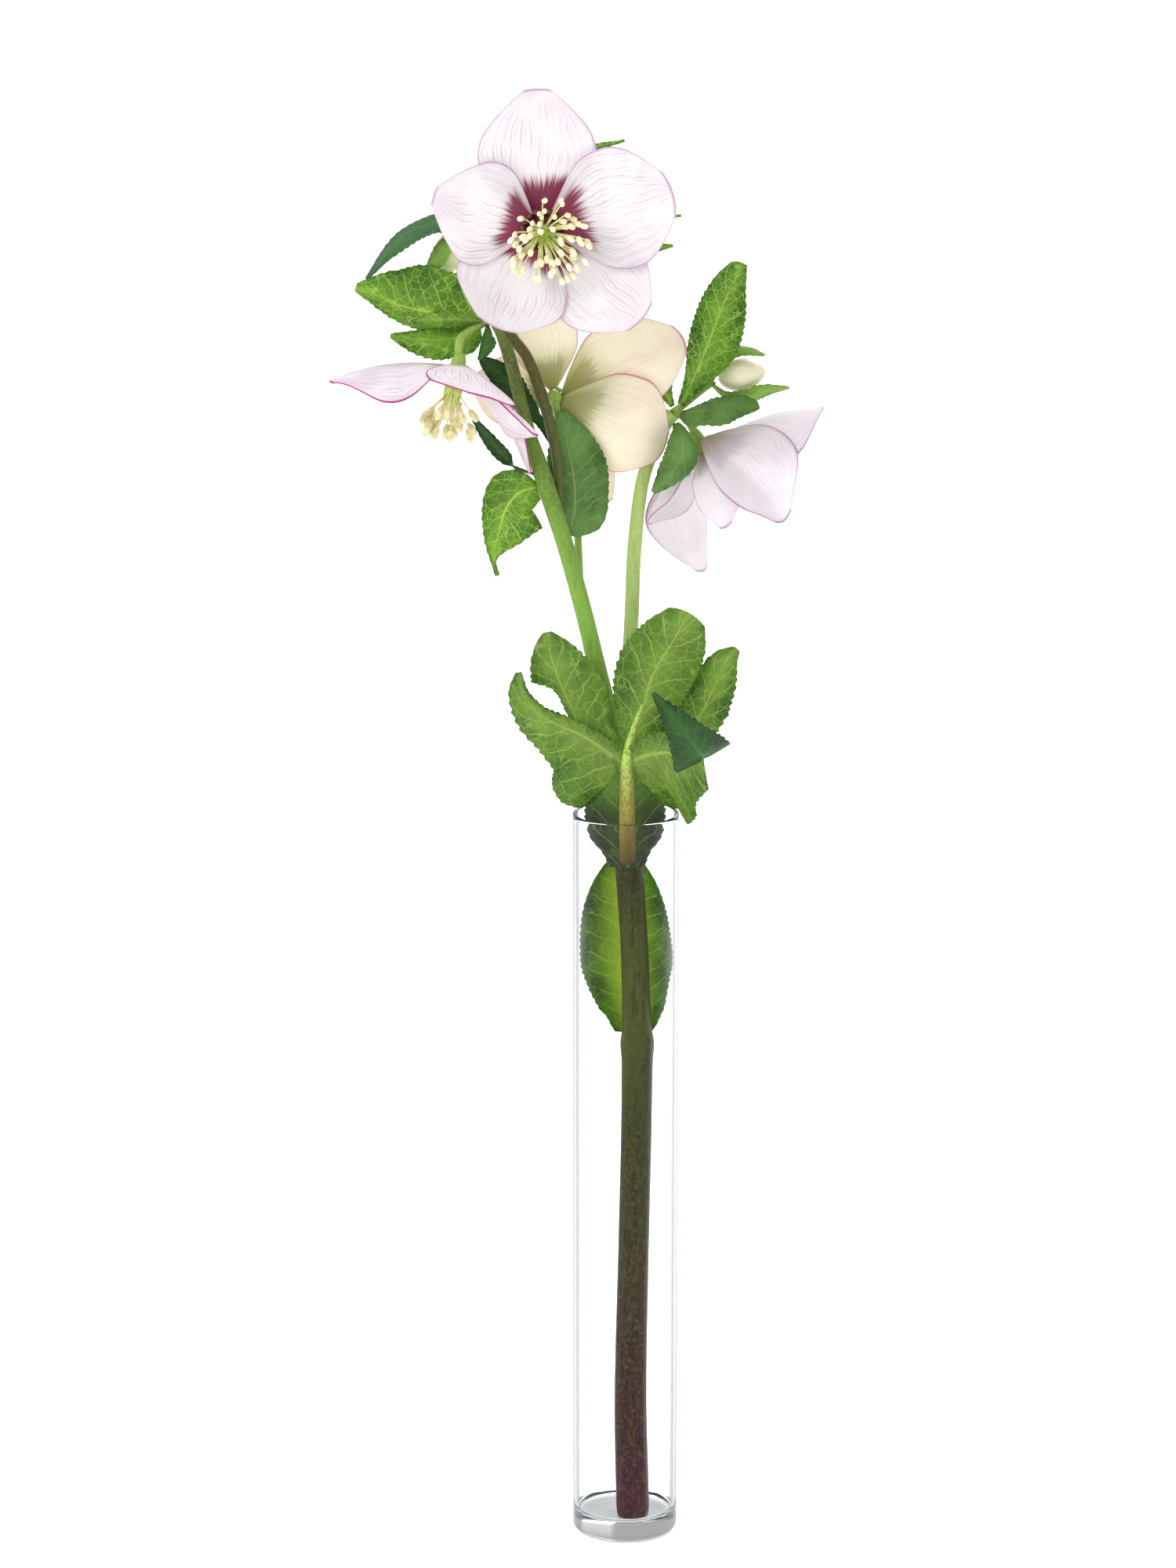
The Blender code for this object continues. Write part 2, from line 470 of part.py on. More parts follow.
def add_vase(materials, collection):
    inner = VASE_RADIUS - VASE_WALL
    lip = VASE_WALL / 2
    profile = [(0.0, VASE_FLOOR)]
    for i in range(4):
        angle = math.radians(30 * i)
        profile.append((inner - VASE_FILLET + VASE_FILLET * math.sin(angle),
                        VASE_FLOOR + VASE_FILLET * (1 - math.cos(angle))))
    profile.append((inner, VASE_HEIGHT - lip))
    for i in range(1, 4):
        angle = math.radians(180 - 60 * i)
        profile.append((inner + lip + lip * math.cos(angle),
                        VASE_HEIGHT - lip + lip * math.sin(angle)))
    for i in range(4):
        angle = math.radians(30 * i)
        profile.append((VASE_RADIUS - VASE_FILLET + VASE_FILLET * math.cos(angle),
                        VASE_FILLET * (1 - math.sin(angle))))
    profile.append((0.0, 0.0))
    return turned("vase", profile, VASE_SEGMENTS, materials["glass"], collection)


def flower_axes(facing):
    """Right and up of a flower's face as its viewer sees it, and the direction faced."""
    facing = Vector(facing).normalized()
    reference = UP if abs(facing.z) < 0.7 else FRONT * -1
    right = reference.cross(facing).normalized()
    return right, facing.cross(right), facing


class FlowerSurface:
    """Common bowl of a flower's sepals, given by each sepal's tip; layers lie one over another."""

    def __init__(self, middle, facing, sepals):
        self.middle = Vector(middle)
        self.right, self.up, self.facing = flower_axes(facing)
        self.aims = []
        for _, layer, tip, _, _, _ in sepals:
            reach = Vector(tip) - self.middle
            lift = 0.0
            for _ in range(3):
                chord = reach - self.facing * lift
                side = Vector((chord.dot(self.right), chord.dot(self.up)))
                rise = math.atan2(chord.dot(self.facing), side.length - RECEPTACLE_RADIUS)
                lift = layer * SEPAL_LAYER / math.cos(rise)
            length = math.hypot(side.length - RECEPTACLE_RADIUS, chord.dot(self.facing))
            self.aims.append((math.atan2(side.y, side.x), rise, length))
        self.length = sum(aim[2] for aim in self.aims) / len(self.aims)
        self.order = sorted((angle % math.tau, rise) for angle, rise, _ in self.aims)

    def rise(self, angle):
        """Mean rise of the bowl in a direction, blended between neighbouring sepals."""
        angle = angle % math.tau
        ring = self.order
        ring = [(ring[-1][0] - math.tau, ring[-1][1])] + ring + [(ring[0][0] + math.tau, ring[0][1])]
        for (a, rise_a), (b, rise_b) in zip(ring, ring[1:]):
            if a <= angle <= b:
                share = (angle - a) / (b - a)
                return lerp(rise_a, rise_b, (1 - math.cos(math.pi * share)) / 2)
        return ring[0][1]

    def bowl(self, angle, distance):
        """Radius, height and slope of the bowl."""
        start = self.rise(angle) - SEPAL_BEND / 2
        turn = SEPAL_BEND * distance / self.length
        radius = self.length / SEPAL_BEND * (math.sin(start + turn) - math.sin(start))
        height = self.length / SEPAL_BEND * (math.cos(start) - math.cos(start + turn))
        return RECEPTACLE_RADIUS + radius, height, math.tan(start + turn)

    def point(self, angle, distance, layer):
        step = 0.02
        radius, height, slope = self.bowl(angle, distance)
        side_slope = (self.bowl(angle + step, distance)[1] - height) / (radius * step)
        height += layer * SEPAL_LAYER * min(math.hypot(1, slope, side_slope), 3.0)
        outward = self.right * math.cos(angle) + self.up * math.sin(angle)
        return self.middle + outward * radius + self.facing * height


def sepal_place(surface, index, layer, width_left, width_right, pointed):
    angle, _, length = surface.aims[index]

    def place(u, v):
        share = v * smooth_value(SEPAL_OUTLINE, u) * (1 - 0.6 * pointed * u ** 3)
        across = share * (width_left if v > 0 else width_right)
        swept = u * (1 - SEPAL_SWEEP * u ** 3 * share ** 2)
        along = RECEPTACLE_RADIUS + CLAW_GAP + swept * (length - CLAW_GAP)
        distance = math.hypot(along, across) - RECEPTACLE_RADIUS
        return surface.point(angle + math.atan2(across, along), distance, layer)

    return place


def add_sepals(flower, materials, collection):
    middle, facing, sepals = FLOWERS[flower]
    surface = FlowerSurface(middle, facing, sepals)
    tint = "cream_sepal" if flower == "centre" else "sepal"
    for index, (name, layer, _, width_left, width_right, pointed) in enumerate(sepals):
        place = sepal_place(surface, index, layer, width_left, width_right, pointed)
        sheet(f"{flower}_sepal_{name}", *SEPAL_GRID[flower], place, materials[tint], collection)


def receptacle_top(flower):
    """Height of a receptacle over its middle: it carries all the sepal layers."""
    surface = FlowerSurface(*FLOWERS[flower])
    steepest = max(rise for _, rise in surface.order)
    layers = max(layer for _, layer, *_ in FLOWERS[flower][2])
    return layers * SEPAL_LAYER / max(math.cos(steepest - SEPAL_BEND / 2), 0.35) + 0.4


def receptacle_points(flower):
    middle, facing, _ = FLOWERS[flower]
    axis = Vector(facing).normalized()
    top = receptacle_top(flower)
    return [(Vector(middle) + axis * height, radius) for height, radius in
            ((-3.0, 1.3), (-1.4, 2.0), (top / 2, RECEPTACLE_RADIUS), (top, RECEPTACLE_RADIUS))]


def add_stem(materials, collection):
    green = materials["stem"]
    stem = tube("stem", MAIN_STEM, 12, green, collection, 1)
    pieces = [tube("left_branch", LEFT_BRANCH, 8, green, collection, 1),
              tube("right_branch", RIGHT_BRANCH, 8, green, collection, 1)]
    for flower, stalk in FLOWER_STALKS.items():
        receptacle = receptacle_points(flower)
        neck = (receptacle[0][0].lerp(receptacle[1][0], 1.4), 1.1)
        pieces.append(tube(flower + "_stalk", stalk + [neck], 6, green, collection, 1))
        pieces.append(tube(flower + "_receptacle", receptacle, 10, green, collection, 1))
    for bud, stalk in BUD_STALKS.items():
        pieces.append(tube(bud + "_bud_stalk", stalk, 6, green, collection, 1))
    fuse(stem, pieces)


def add_nectaries(flower, materials, collection):
    """Ring of short horns round a disc that sits on the receptacle."""
    middle, facing, _ = FLOWERS[flower]
    right, up, axis = flower_axes(facing)
    maroon = materials["nectary"]
    base = Vector(middle) + axis * (receptacle_top(flower) + SEAT_GAP)
    name = flower + "_nectaries"
    disc = tube(name, [(base, DISC_RADIUS), (base + axis * DISC_HEIGHT, DISC_RADIUS)], 10, maroon,
                collection, 1)
    horns = []
    for i in range(NECTARIES):
        angle = math.tau * (i + 0.5) / NECTARIES
        outward = right * math.cos(angle) + up * math.sin(angle)
        foot = base + outward * (DISC_RADIUS - 0.6) + axis * (0.5 * DISC_HEIGHT)
        mouth = foot + outward * HORN_REACH + axis * HORN_RISE
        horn = [(foot, HORN_RADII[0]), (mouth, HORN_RADII[1])]
        horns.append(tube(f"{name}_{i}", horn, 4, maroon, collection, 1))
    fuse(disc, horns)


def add_stamens(flower, materials, collection):
    """Stamens and the five carpels on one small base, which sits on the nectaries' disc."""
    rng = random.Random(7 + len(flower))
    middle, facing, _ = FLOWERS[flower]
    right, up, axis = flower_axes(facing)
    cream = materials["stamen"]
    stack = receptacle_top(flower) + SEAT_GAP + DISC_HEIGHT + SEAT_GAP
    base = Vector(middle) + axis * stack
    name = flower + "_stamens"
    heart = [(base, HEART_RADIUS), (base + axis * HEART_HEIGHT, HEART_RADIUS)]
    disc = tube(name, heart, 10, cream, collection, 1)
    pieces = []
    near, far = STAMEN_REACH[flower]
    low, high = STAMEN_HEIGHT[flower]
    sag = Vector(STAMEN_SAG[flower])
    count = STAMENS[flower]
    for i in range(count):
        angle = math.tau * (i + 0.3 * rng.random()) / count
        outward = right * math.cos(angle) + up * math.sin(angle)
        reach = lerp(near, far, rng.random())
        height = lerp(low, high, rng.random())
        foot = base + outward * 0.8 + axis * 1.0
        bow = base + outward * (0.35 * reach + 0.7) + axis * (0.62 * height) + sag * 0.3
        neck = base + outward * reach + axis * height + sag
        lean = ((neck - bow).normalized() + Vector((0, 0, -0.5))).normalized()
        stamen = [(foot, FILAMENT_RADIUS), (bow, FILAMENT_RADIUS), (neck, NECK_RADIUS),
                  (neck + lean * ANTHER_START, ANTHER_RADIUS), (neck + lean * ANTHER_LENGTH, 0.5)]
        pieces.append(tube(f"{name}_{i}", stamen, 4, cream, collection, 1))
    for i in range(CARPELS):
        angle = math.tau * (i + 0.25) / CARPELS
        outward = right * math.cos(angle) + up * math.sin(angle)
        foot = base + outward * 0.5 + axis * 1.0
        tip = base + outward * 1.7 + axis * 6.0 + sag * 0.3
        carpel = [(foot, 0.6), (foot.lerp(tip, 0.5), 0.62), (tip, 0.3)]
        pieces.append(tube(f"{name}_carpel_{i}", carpel, 4, cream, collection, 1))
    fuse(disc, pieces)


def add_bud(name, materials, collection):
    top, bottom, radius = BUDS[name]
    top, bottom = Vector(top), Vector(bottom)
    points = [(top.lerp(bottom, share), radius * width) for share, width in BUD_OUTLINE]
    tube(name + "_bud", points, 12, materials["bud"], collection, 1)


def add_rim_bract(materials, collection):
    green = materials["leaf"]
    stalk = tube("rim_bract", BRACT_STALK, 8, green, collection)
    lobes = []
    for name, spec in BRACT_LOBES.items():
        lobe = add_leaf("rim_bract_" + name, spec, green, collection)
        apply_modifiers(lobe)
        lobes.append(lobe)
    fuse(stalk, lobes, "MANIFOLD")


def build():
    clear_scene()
    collection = bpy.data.collections.new("hellebore_in_vase")
    bpy.context.scene.collection.children.link(collection)
    materials = {name: make_material(name) for name in COLOURS}
    add_vase(materials, collection)
    add_stem(materials, collection)
    for flower in FLOWERS:
        add_sepals(flower, materials, collection)
        add_nectaries(flower, materials, collection)
        add_stamens(flower, materials, collection)
    for bud in BUDS:
        add_bud(bud, materials, collection)
    for name, spec in LEAVES.items():
        add_leaf(name, spec, materials["leaf"], collection)
    add_rim_bract(materials, collection)


build()
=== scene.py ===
"""Hellebore stem in its slim glass vase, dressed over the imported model.

Tables are in millimetres; meshes are in metres.
"""
import math
import random

import bmesh
import bpy
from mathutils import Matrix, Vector, noise


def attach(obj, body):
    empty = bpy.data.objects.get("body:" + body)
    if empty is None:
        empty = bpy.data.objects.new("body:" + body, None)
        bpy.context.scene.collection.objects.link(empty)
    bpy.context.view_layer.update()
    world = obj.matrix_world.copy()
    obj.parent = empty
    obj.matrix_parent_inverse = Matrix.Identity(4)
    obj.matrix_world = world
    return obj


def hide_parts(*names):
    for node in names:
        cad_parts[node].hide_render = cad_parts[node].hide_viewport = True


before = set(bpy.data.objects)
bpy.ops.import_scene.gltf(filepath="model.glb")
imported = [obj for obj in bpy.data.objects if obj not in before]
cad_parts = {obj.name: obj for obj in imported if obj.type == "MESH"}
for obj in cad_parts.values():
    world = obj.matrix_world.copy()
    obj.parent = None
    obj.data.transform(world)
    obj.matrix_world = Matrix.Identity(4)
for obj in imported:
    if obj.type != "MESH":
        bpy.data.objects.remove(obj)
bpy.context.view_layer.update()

# The vase: a straight glass cylinder, drawn and cut, with a fire-polished rim and a thick base.
# The profile runs from the middle of the inner floor, over the rim, to the middle underneath,
# and is spun once round.
MM = 0.001
SAME_PLACE = 0.000001
VASE_HEIGHT = 227.0
VASE_RADIUS = 16.0
VASE_WALL = 1.05
VASE_FLOOR = 6.2
VASE_FILLET = 2.0
WALL_RINGS = (225, 215, 180, 120, 60)


def vase_profile():
    inner = VASE_RADIUS - VASE_WALL
    lip = VASE_WALL / 2
    quarter = [(math.sin(math.radians(90 * i / 8)), math.cos(math.radians(90 * i / 8))) for i in range(9)]
    half = [math.radians(180 - 22.5 * i) for i in range(9)]
    return (
        [(0, VASE_FLOOR - 0.5), (5, VASE_FLOOR - 0.4), (9, VASE_FLOOR - 0.15)]
        + [(inner - VASE_FILLET * (1 - s), VASE_FLOOR + VASE_FILLET * (1 - c)) for s, c in quarter]
        + [(inner, z) for z in (10, *reversed(WALL_RINGS))]
        + [(inner + lip * (1 + math.cos(a)), VASE_HEIGHT - lip * (1 - math.sin(a))) for a in half]
        + [(VASE_RADIUS, z) for z in (*WALL_RINGS, 4)]
        + [(VASE_RADIUS - VASE_FILLET * (1 - c), VASE_FILLET * (1 - s)) for s, c in quarter]
        + [(11, 0), (0, 0)])


def plug(socket, value):
    """Links another node's socket to an input, or sets a plain value there."""
    if isinstance(value, bpy.types.NodeSocket):
        socket.id_data.links.new(value, socket)
    else:
        socket.default_value = value


def feed(to, **inputs):
    """Fills a node's inputs; in their names _ stands for a space."""
    for name, value in inputs.items():
        plug(to.inputs[name.replace("_", " ")], value)


def node(tree, kind, **values):
    """A shader node; names in small letters are settings, and the others are inputs."""
    new = tree.nodes.new("ShaderNode" + kind)
    for name in [name for name in values if name.islower()]:
        setattr(new, name, values.pop(name))
    feed(new, **values)
    return new


def step_up(value, low, high, out_low=0.0, out_high=1.0):
    """A smooth step of a socket's value from low to high."""
    return node(value.id_data, "MapRange", interpolation_type="SMOOTHSTEP", Value=value, From_Min=low,
                From_Max=high, To_Min=out_low, To_Max=out_high).outputs["Result"]


def new_material(name, colour, roughness, **inputs):
    """A material, its node tree and its shader."""
    material = bpy.data.materials.new(name)
    material.use_nodes = True
    shader = material.node_tree.nodes["Principled BSDF"]
    feed(shader, Base_Color=(*colour, 1), Roughness=roughness, **inputs)
    return material, material.node_tree, shader


def mix_shaders(share, first, second):
    """Ends a material with a mix of two shaders."""
    mixed = node(first.id_data, "MixShader", Fac=share)
    plug(mixed.inputs[1], first.outputs[0])
    plug(mixed.inputs[2], second.outputs[0])
    feed(first.id_data.nodes["Material Output"], Surface=mixed.outputs[0])


def place_piece(obj, cad_node):
    """Links a finished piece, which rides on the one body and stands for a CAD node."""
    bpy.context.scene.collection.objects.link(obj)
    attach(obj, "root")
    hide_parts(cad_node)
    return obj


# Clear glass, mixed towards a dark grey painted shade where it is seen edge on.
clear_glass, glass_tree, glass_shader = new_material(
    "clear_glass", (0.985, 1, 1), 0, Transmission_Weight=1, IOR=1.47, Specular_Tint=(0.08, 0.085, 0.09, 1))
# A dark, non-transparent shader: painted shade for the glass's edge-on lines.
painted_edge_shade = node(glass_tree, "BsdfPrincipled", Base_Color=(0.07, 0.09, 0.12, 1), Roughness=0.2)
facing = node(glass_tree, "LayerWeight", Blend=0.5).outputs["Facing"]
mix_shaders(step_up(facing, 0.42, 0.92, 0, 0.9), glass_shader, painted_edge_shade)

vase_mesh = bpy.data.meshes.new("glass_cylinder")
bm = bmesh.new()
ring = [bm.verts.new(Vector((r, 0, z)) * MM) for r, z in vase_profile()]
edges = [bm.edges.new(pair) for pair in zip(ring, ring[1:])]
bmesh.ops.spin(bm, geom=ring + edges, cent=(0, 0, 0), axis=(0, 0, 1), dvec=(0, 0, 0),
               angle=math.tau, steps=128, use_merge=True)
bmesh.ops.remove_doubles(bm, verts=bm.verts[:], dist=SAME_PLACE)
bmesh.ops.recalc_face_normals(bm, faces=bm.faces[:])
bm.to_mesh(vase_mesh)
bm.free()
vase_mesh.shade_smooth()
vase_mesh.materials.append(clear_glass)
place_piece(bpy.data.objects.new("glass_cylinder", vase_mesh), "vase")


# The stem: one grown piece that stands on the vase's floor, cut flat below, with a swollen node,
# two branches and the stalks of flowers and buds. Each run is a tapering ribbed tube.
MAIN_STEM = [((2.4, -8, 6.5), 4.55), ((2.3, -7.9, 9), 4.95), ((1.6, -6.2, 44.6), 4.85),
             ((2.4, -4, 89.3), 4.65), ((3.2, -1.5, 125.9), 4.65), ((3.5, 0.3, 150), 4.8),
             ((3.5, 0.6, 155.1), 5.2), ((3.4, 0.9, 160), 4.5), ((2.5, 2.5, 186.5), 4.15),
             ((0.9, 4, 210), 4.2), ((0, 4.8, 222), 4), ((-0.4, 5, 229), 3.4)]
LEFT_BRANCH = [((-0.1, 4.6, 220), 2.9), ((-0.9, 5, 230), 2.8), ((-2.9, 5, 246.6), 2.7),
               ((-8.1, 4.5, 268.3), 2.6), ((-12.7, 3, 287.7), 2.55), ((-17.8, 0.5, 307.1), 2.5),
               ((-22.2, -2, 321.7), 2.6), ((-25.2, -3, 331.2), 2.6), ((-28.8, -3, 342.2), 2.1),
               ((-33.2, -2, 360.2), 1.9), ((-36.6, -1, 371.6), 1.9), ((-38.9, 0, 376.7), 1.9),
               ((-37.5, 1, 385.1), 1.5), ((-36.1, 2, 389.6), 1.5)]
RIGHT_BRANCH = [((0.3, 5.2, 221), 2.6), ((1.1, 6.5, 231.7), 2.4), ((0.9, 8, 248.3), 2.3),
                ((0.9, 11, 266.9), 2.2), ((1.7, 14, 285.4), 2.15), ((2.5, 17, 304), 2.1),
                ((4.6, 20, 322.4), 2), ((7.4, 21.5, 331.7), 2), ((10.9, 22, 339.9), 2.2),
                ((13.9, 22, 344.1), 2.2)]
FLOWER_STALKS = {
    "hero": [((-20.6, -1, 317), 1.4), ((-20, 0.8, 326), 1.4), ((-20.7, 0.8, 335), 1.5),
             ((-22.4, -0.8, 344), 1.6), ((-24.6, -3, 352.5), 1.6), ((-29.2, -6, 365.4), 1.6),
             ((-34.2, -8, 372.6), 1.6), ((-36.4, -12, 380.1), 1.6), ((-35.1, -18, 391.2), 1.6),
             ((-30.5, -24, 400.5), 1.6)],
    "left": [((-38.9, -0.5, 375.9), 1.4), ((-43, -3, 374.4), 1.3), ((-46.1, -6, 372.6), 1.3),
             ((-48.6, -10, 370.6), 1.4)],
    "centre": [((-1, 5, 234.5), 1.1), ((-5.5, 9.2, 252.9), 1.1), ((-10.4, 10, 269.5), 1.1),
               ((-13, 10, 283.9), 1.1), ((-14.2, 10, 305.3), 1.1), ((-14.8, 10, 319.5), 1.1),
               ((-16.7, 9, 336.2), 1.1), ((-20, 6.6, 345.4), 1.2)],
    "right": [((13.9, 22, 344.1), 1.6), ((16.4, 23.2, 343.6), 1.4), ((18.5, 24.4, 341.8), 1.4)],
}
BUD_STALKS = {
    "left": [((-36.1, 2, 389.6), 1.2), ((-40, 5, 398.5), 1.1), ((-44.6, 7, 402.9), 1.1),
             ((-48.5, 7.5, 401.9), 1.1)],
    "right": [((13.9, 22, 344.1), 1.3), ((18.2, 27, 346.6), 1.1), ((22.5, 28, 350), 1.1),
              ((26.3, 27.5, 352.9), 1.1)],
}
CUT_TOP = 0.0075


def srgb(red, green, blue):
    """Linear colour from 0-255 display values."""
    return tuple((c / 12.92 if c <= 0.04045 else ((c + 0.055) / 1.055) ** 2.4)
                 for c in (red / 255, green / 255, blue / 255))


def lerp(a, b, t):
    return a + (b - a) * t


def smooth_value(points, t):
    """Value at t of a smooth line through (t, value) pairs."""
    last = len(points) - 1
    i = 0
    while i < last - 1 and t > points[i + 1][0]:
        i += 1
    before, left, right, after = (points[max(i - 1, 0)], points[i], points[i + 1],
                                  points[min(i + 2, last)])
    span = right[0] - left[0]
    x = min(max((t - left[0]) / span, 0.0), 1.0)
    slope_left = (right[1] - before[1]) / (right[0] - before[0]) * span
    slope_right = (after[1] - left[1]) / (after[0] - left[0]) * span
    return (left[1] * (2 * x ** 3 - 3 * x ** 2 + 1) + slope_left * (x ** 3 - 2 * x ** 2 + x)
            + right[1] * (3 * x ** 2 - 2 * x ** 3) + slope_right * (x ** 3 - x ** 2))


class Route:
    """Smooth line through points, read by its share of the length."""

    def __init__(self, points):
        self.points = [Vector(p) for p in points]
        lengths = [(b - a).length for a, b in zip(self.points, self.points[1:])]
        self.length = sum(lengths)
        self.stations = [sum(lengths[:i]) / self.length for i in range(len(self.points))]

    def at(self, t):
        return Vector(smooth_value([(s, p[axis]) for s, p in zip(self.stations, self.points)], t)
                      for axis in range(3))

    def direction(self, t):
        step = 0.01
        return (self.at(min(t + step, 1)) - self.at(max(t - step, 0))).normalized()


def grow(name, sheets, materials, thickness=0.0):
    """Grids of (rows, columns, place, material index), each point moved to place(u, v) in mm.

    u runs 0..1 along the piece and v -1..1 across or round it; both are kept in the UV map.
    """
    mesh = bpy.data.meshes.new(name)
    bm = bmesh.new()
    skin = bm.loops.layers.uv.new("skin")
    for rows, columns, place, index in sheets:
        grid = bmesh.ops.create_grid(bm, x_segments=rows, y_segments=columns, size=0.5)["verts"]
        for face in {face for vert in grid for face in vert.link_faces}:
            face.material_index = index
            for loop in face.loops:
                loop[skin].uv = (loop.vert.co.x + 0.5, loop.vert.co.y + 0.5)
        for vert in grid:
            vert.co = place(vert.co.x + 0.5, 2 * vert.co.y) * MM
    bmesh.ops.remove_doubles(bm, verts=bm.verts[:], dist=SAME_PLACE)
    if thickness == 0:
        bmesh.ops.recalc_face_normals(bm, faces=bm.faces[:])
    bm.to_mesh(mesh)
    bm.free()
    mesh.shade_smooth()
    for material in materials:
        mesh.materials.append(material)
    obj = bpy.data.objects.new(name, mesh)
    if thickness:
        solid = obj.modifiers.new("Thickness", "SOLIDIFY")
        solid.thickness = thickness * MM
        solid.offset = 0.0
    return obj


def tube_sheet(route_points, rows, columns, index=0, ribs=0, rib_depth=0.0):
    """Sheet for a closed tube: its first and last rows are the flat ends."""
    route = Route([point for point, _ in route_points])
    radii = [(station, radius) for station, (_, radius) in zip(route.stations, route_points)]
    end = 1 / rows
    side = Vector((0, -1, 0.01)) if abs(route.direction(0.5).y) < 0.8 else Vector((1, 0, 0.01))

    def place(u, v):
        t = min(max((u - end) / (1 - 2 * end), 0), 1)
        along = route.direction(t)
        across = along.cross(side).normalized()
        radius = 0 if u < end / 2 or u > 1 - end / 2 else smooth_value(radii, t)
        angle = math.pi * v
        radius *= 1 + rib_depth * math.cos(ribs * angle)
        return (route.at(t) + across * radius * math.cos(angle)
                + along.cross(across) * radius * math.sin(angle))

    return rows, columns, place, index


def reckon(operation, *values, kind="Math"):
    """A Math node over sockets and plain values, of which the first is a socket."""
    new = node(values[0].id_data, kind, operation=operation)
    for socket, value in zip(new.inputs, values):
        plug(socket, value)
    return new.outputs[0]


def times(value, factor):
    return reckon("MULTIPLY", value, factor)


def blend_colour(share, first, second):
    """A colour mix; a colour is a tuple or a socket."""
    new = node(share.id_data, "Mix", data_type="RGBA")
    for name, value in (("Factor", share), ("A", first), ("B", second)):
        plug(new.inputs[name], (*value, 1) if isinstance(value, tuple) else value)
    return new.outputs["Result"]


def speckle(tree, scale, stretch=(1, 1, 1), detail=3.0):
    """Noise over Object coordinates, stretched along the axes."""
    where = node(tree, "Mapping", Vector=node(tree, "TexCoord").outputs["Object"], Scale=stretch)
    return node(tree, "TexNoise", Vector=where.outputs[0], Scale=scale, Detail=detail).outputs["Fac"]


def emboss(shader, colour, relief, strength, depth):
    """Gives a shader its colour and a low relief."""
    bump = node(shader.id_data, "Bump", Strength=strength, Distance=depth, Height=relief)
    feed(shader, Base_Color=colour, Normal=bump.outputs[0])


def stem_skin(name, stops, streak, streak_share, fleck, fleck_share):
    """Skin with fine streaks along it and speckles; stops are a height and its display colour."""
    material, tree, shader = new_material(name, srgb(*stops[0][1:]), 0.42, Specular_IOR_Level=0.15)
    height = node(tree, "SeparateXYZ", Vector=node(tree, "TexCoord").outputs["Object"]).outputs["Z"]
    wander = reckon("MULTIPLY_ADD", speckle(tree, 60), 0.03, height)
    top = stops[-1][0]
    ramp = node(tree, "ValToRGB", Fac=reckon("DIVIDE", wander, top * MM))
    marks = ramp.color_ramp.elements
    while len(marks) < len(stops):
        marks.new(0.5)
    for mark, (level, *colour) in zip(marks, stops):
        mark.position = level / top
        mark.color = (*srgb(*colour), 1)
    lines = step_up(speckle(tree, 1, (900, 900, 50)), 0.48, 0.66)
    dots = step_up(speckle(tree, 1300, (1, 1, 0.8), 2), 0.5, 0.6)
    colour = blend_colour(times(lines, streak_share), ramp.outputs["Color"], streak)
    colour = blend_colour(times(dots, fleck_share), colour, fleck)
    emboss(shader, colour, lines, 0.3, 0.0003)
    return material


old_skin = stem_skin("old_stem_skin", [
    (0, 124, 46, 58), (14, 80, 22, 44), (45, 66, 22, 34), (75, 62, 40, 24),
    (150, 60, 66, 18), (185, 76, 90, 22), (225, 50, 50, 18), (240, 90, 116, 46),
], srgb(26, 16, 14), 0.55, srgb(118, 104, 64), 0.36)
cut_end = new_material("cut_stem_end", srgb(190, 110, 70), 0.6)[0]
left_skin = stem_skin("left_branch_skin", [
    (200, 120, 116, 60), (250, 136, 164, 80), (300, 122, 168, 66),
    (345, 98, 130, 50), (375, 92, 98, 52), (400, 118, 150, 70),
], srgb(88, 96, 46), 0.25, srgb(156, 172, 92), 0.25)
right_skin = stem_skin("right_branch_skin", [
    (200, 140, 150, 84), (260, 158, 174, 104), (330, 168, 190, 112),
    (360, 176, 206, 110),
], srgb(120, 136, 76), 0.3, srgb(190, 206, 140), 0.3)
green_stalk_skin = stem_skin("green_stalk_skin", [
    (200, 128, 156, 74), (330, 136, 168, 78), (400, 150, 182, 84),
], srgb(100, 112, 56), 0.3, srgb(160, 176, 100), 0.3)
brown_stalk_skin = stem_skin("brown_stalk_skin", [
    (300, 90, 104, 46), (350, 80, 88, 40), (380, 76, 74, 38), (410, 112, 130, 60),
], srgb(50, 42, 26), 0.45, srgb(116, 114, 66), 0.25)


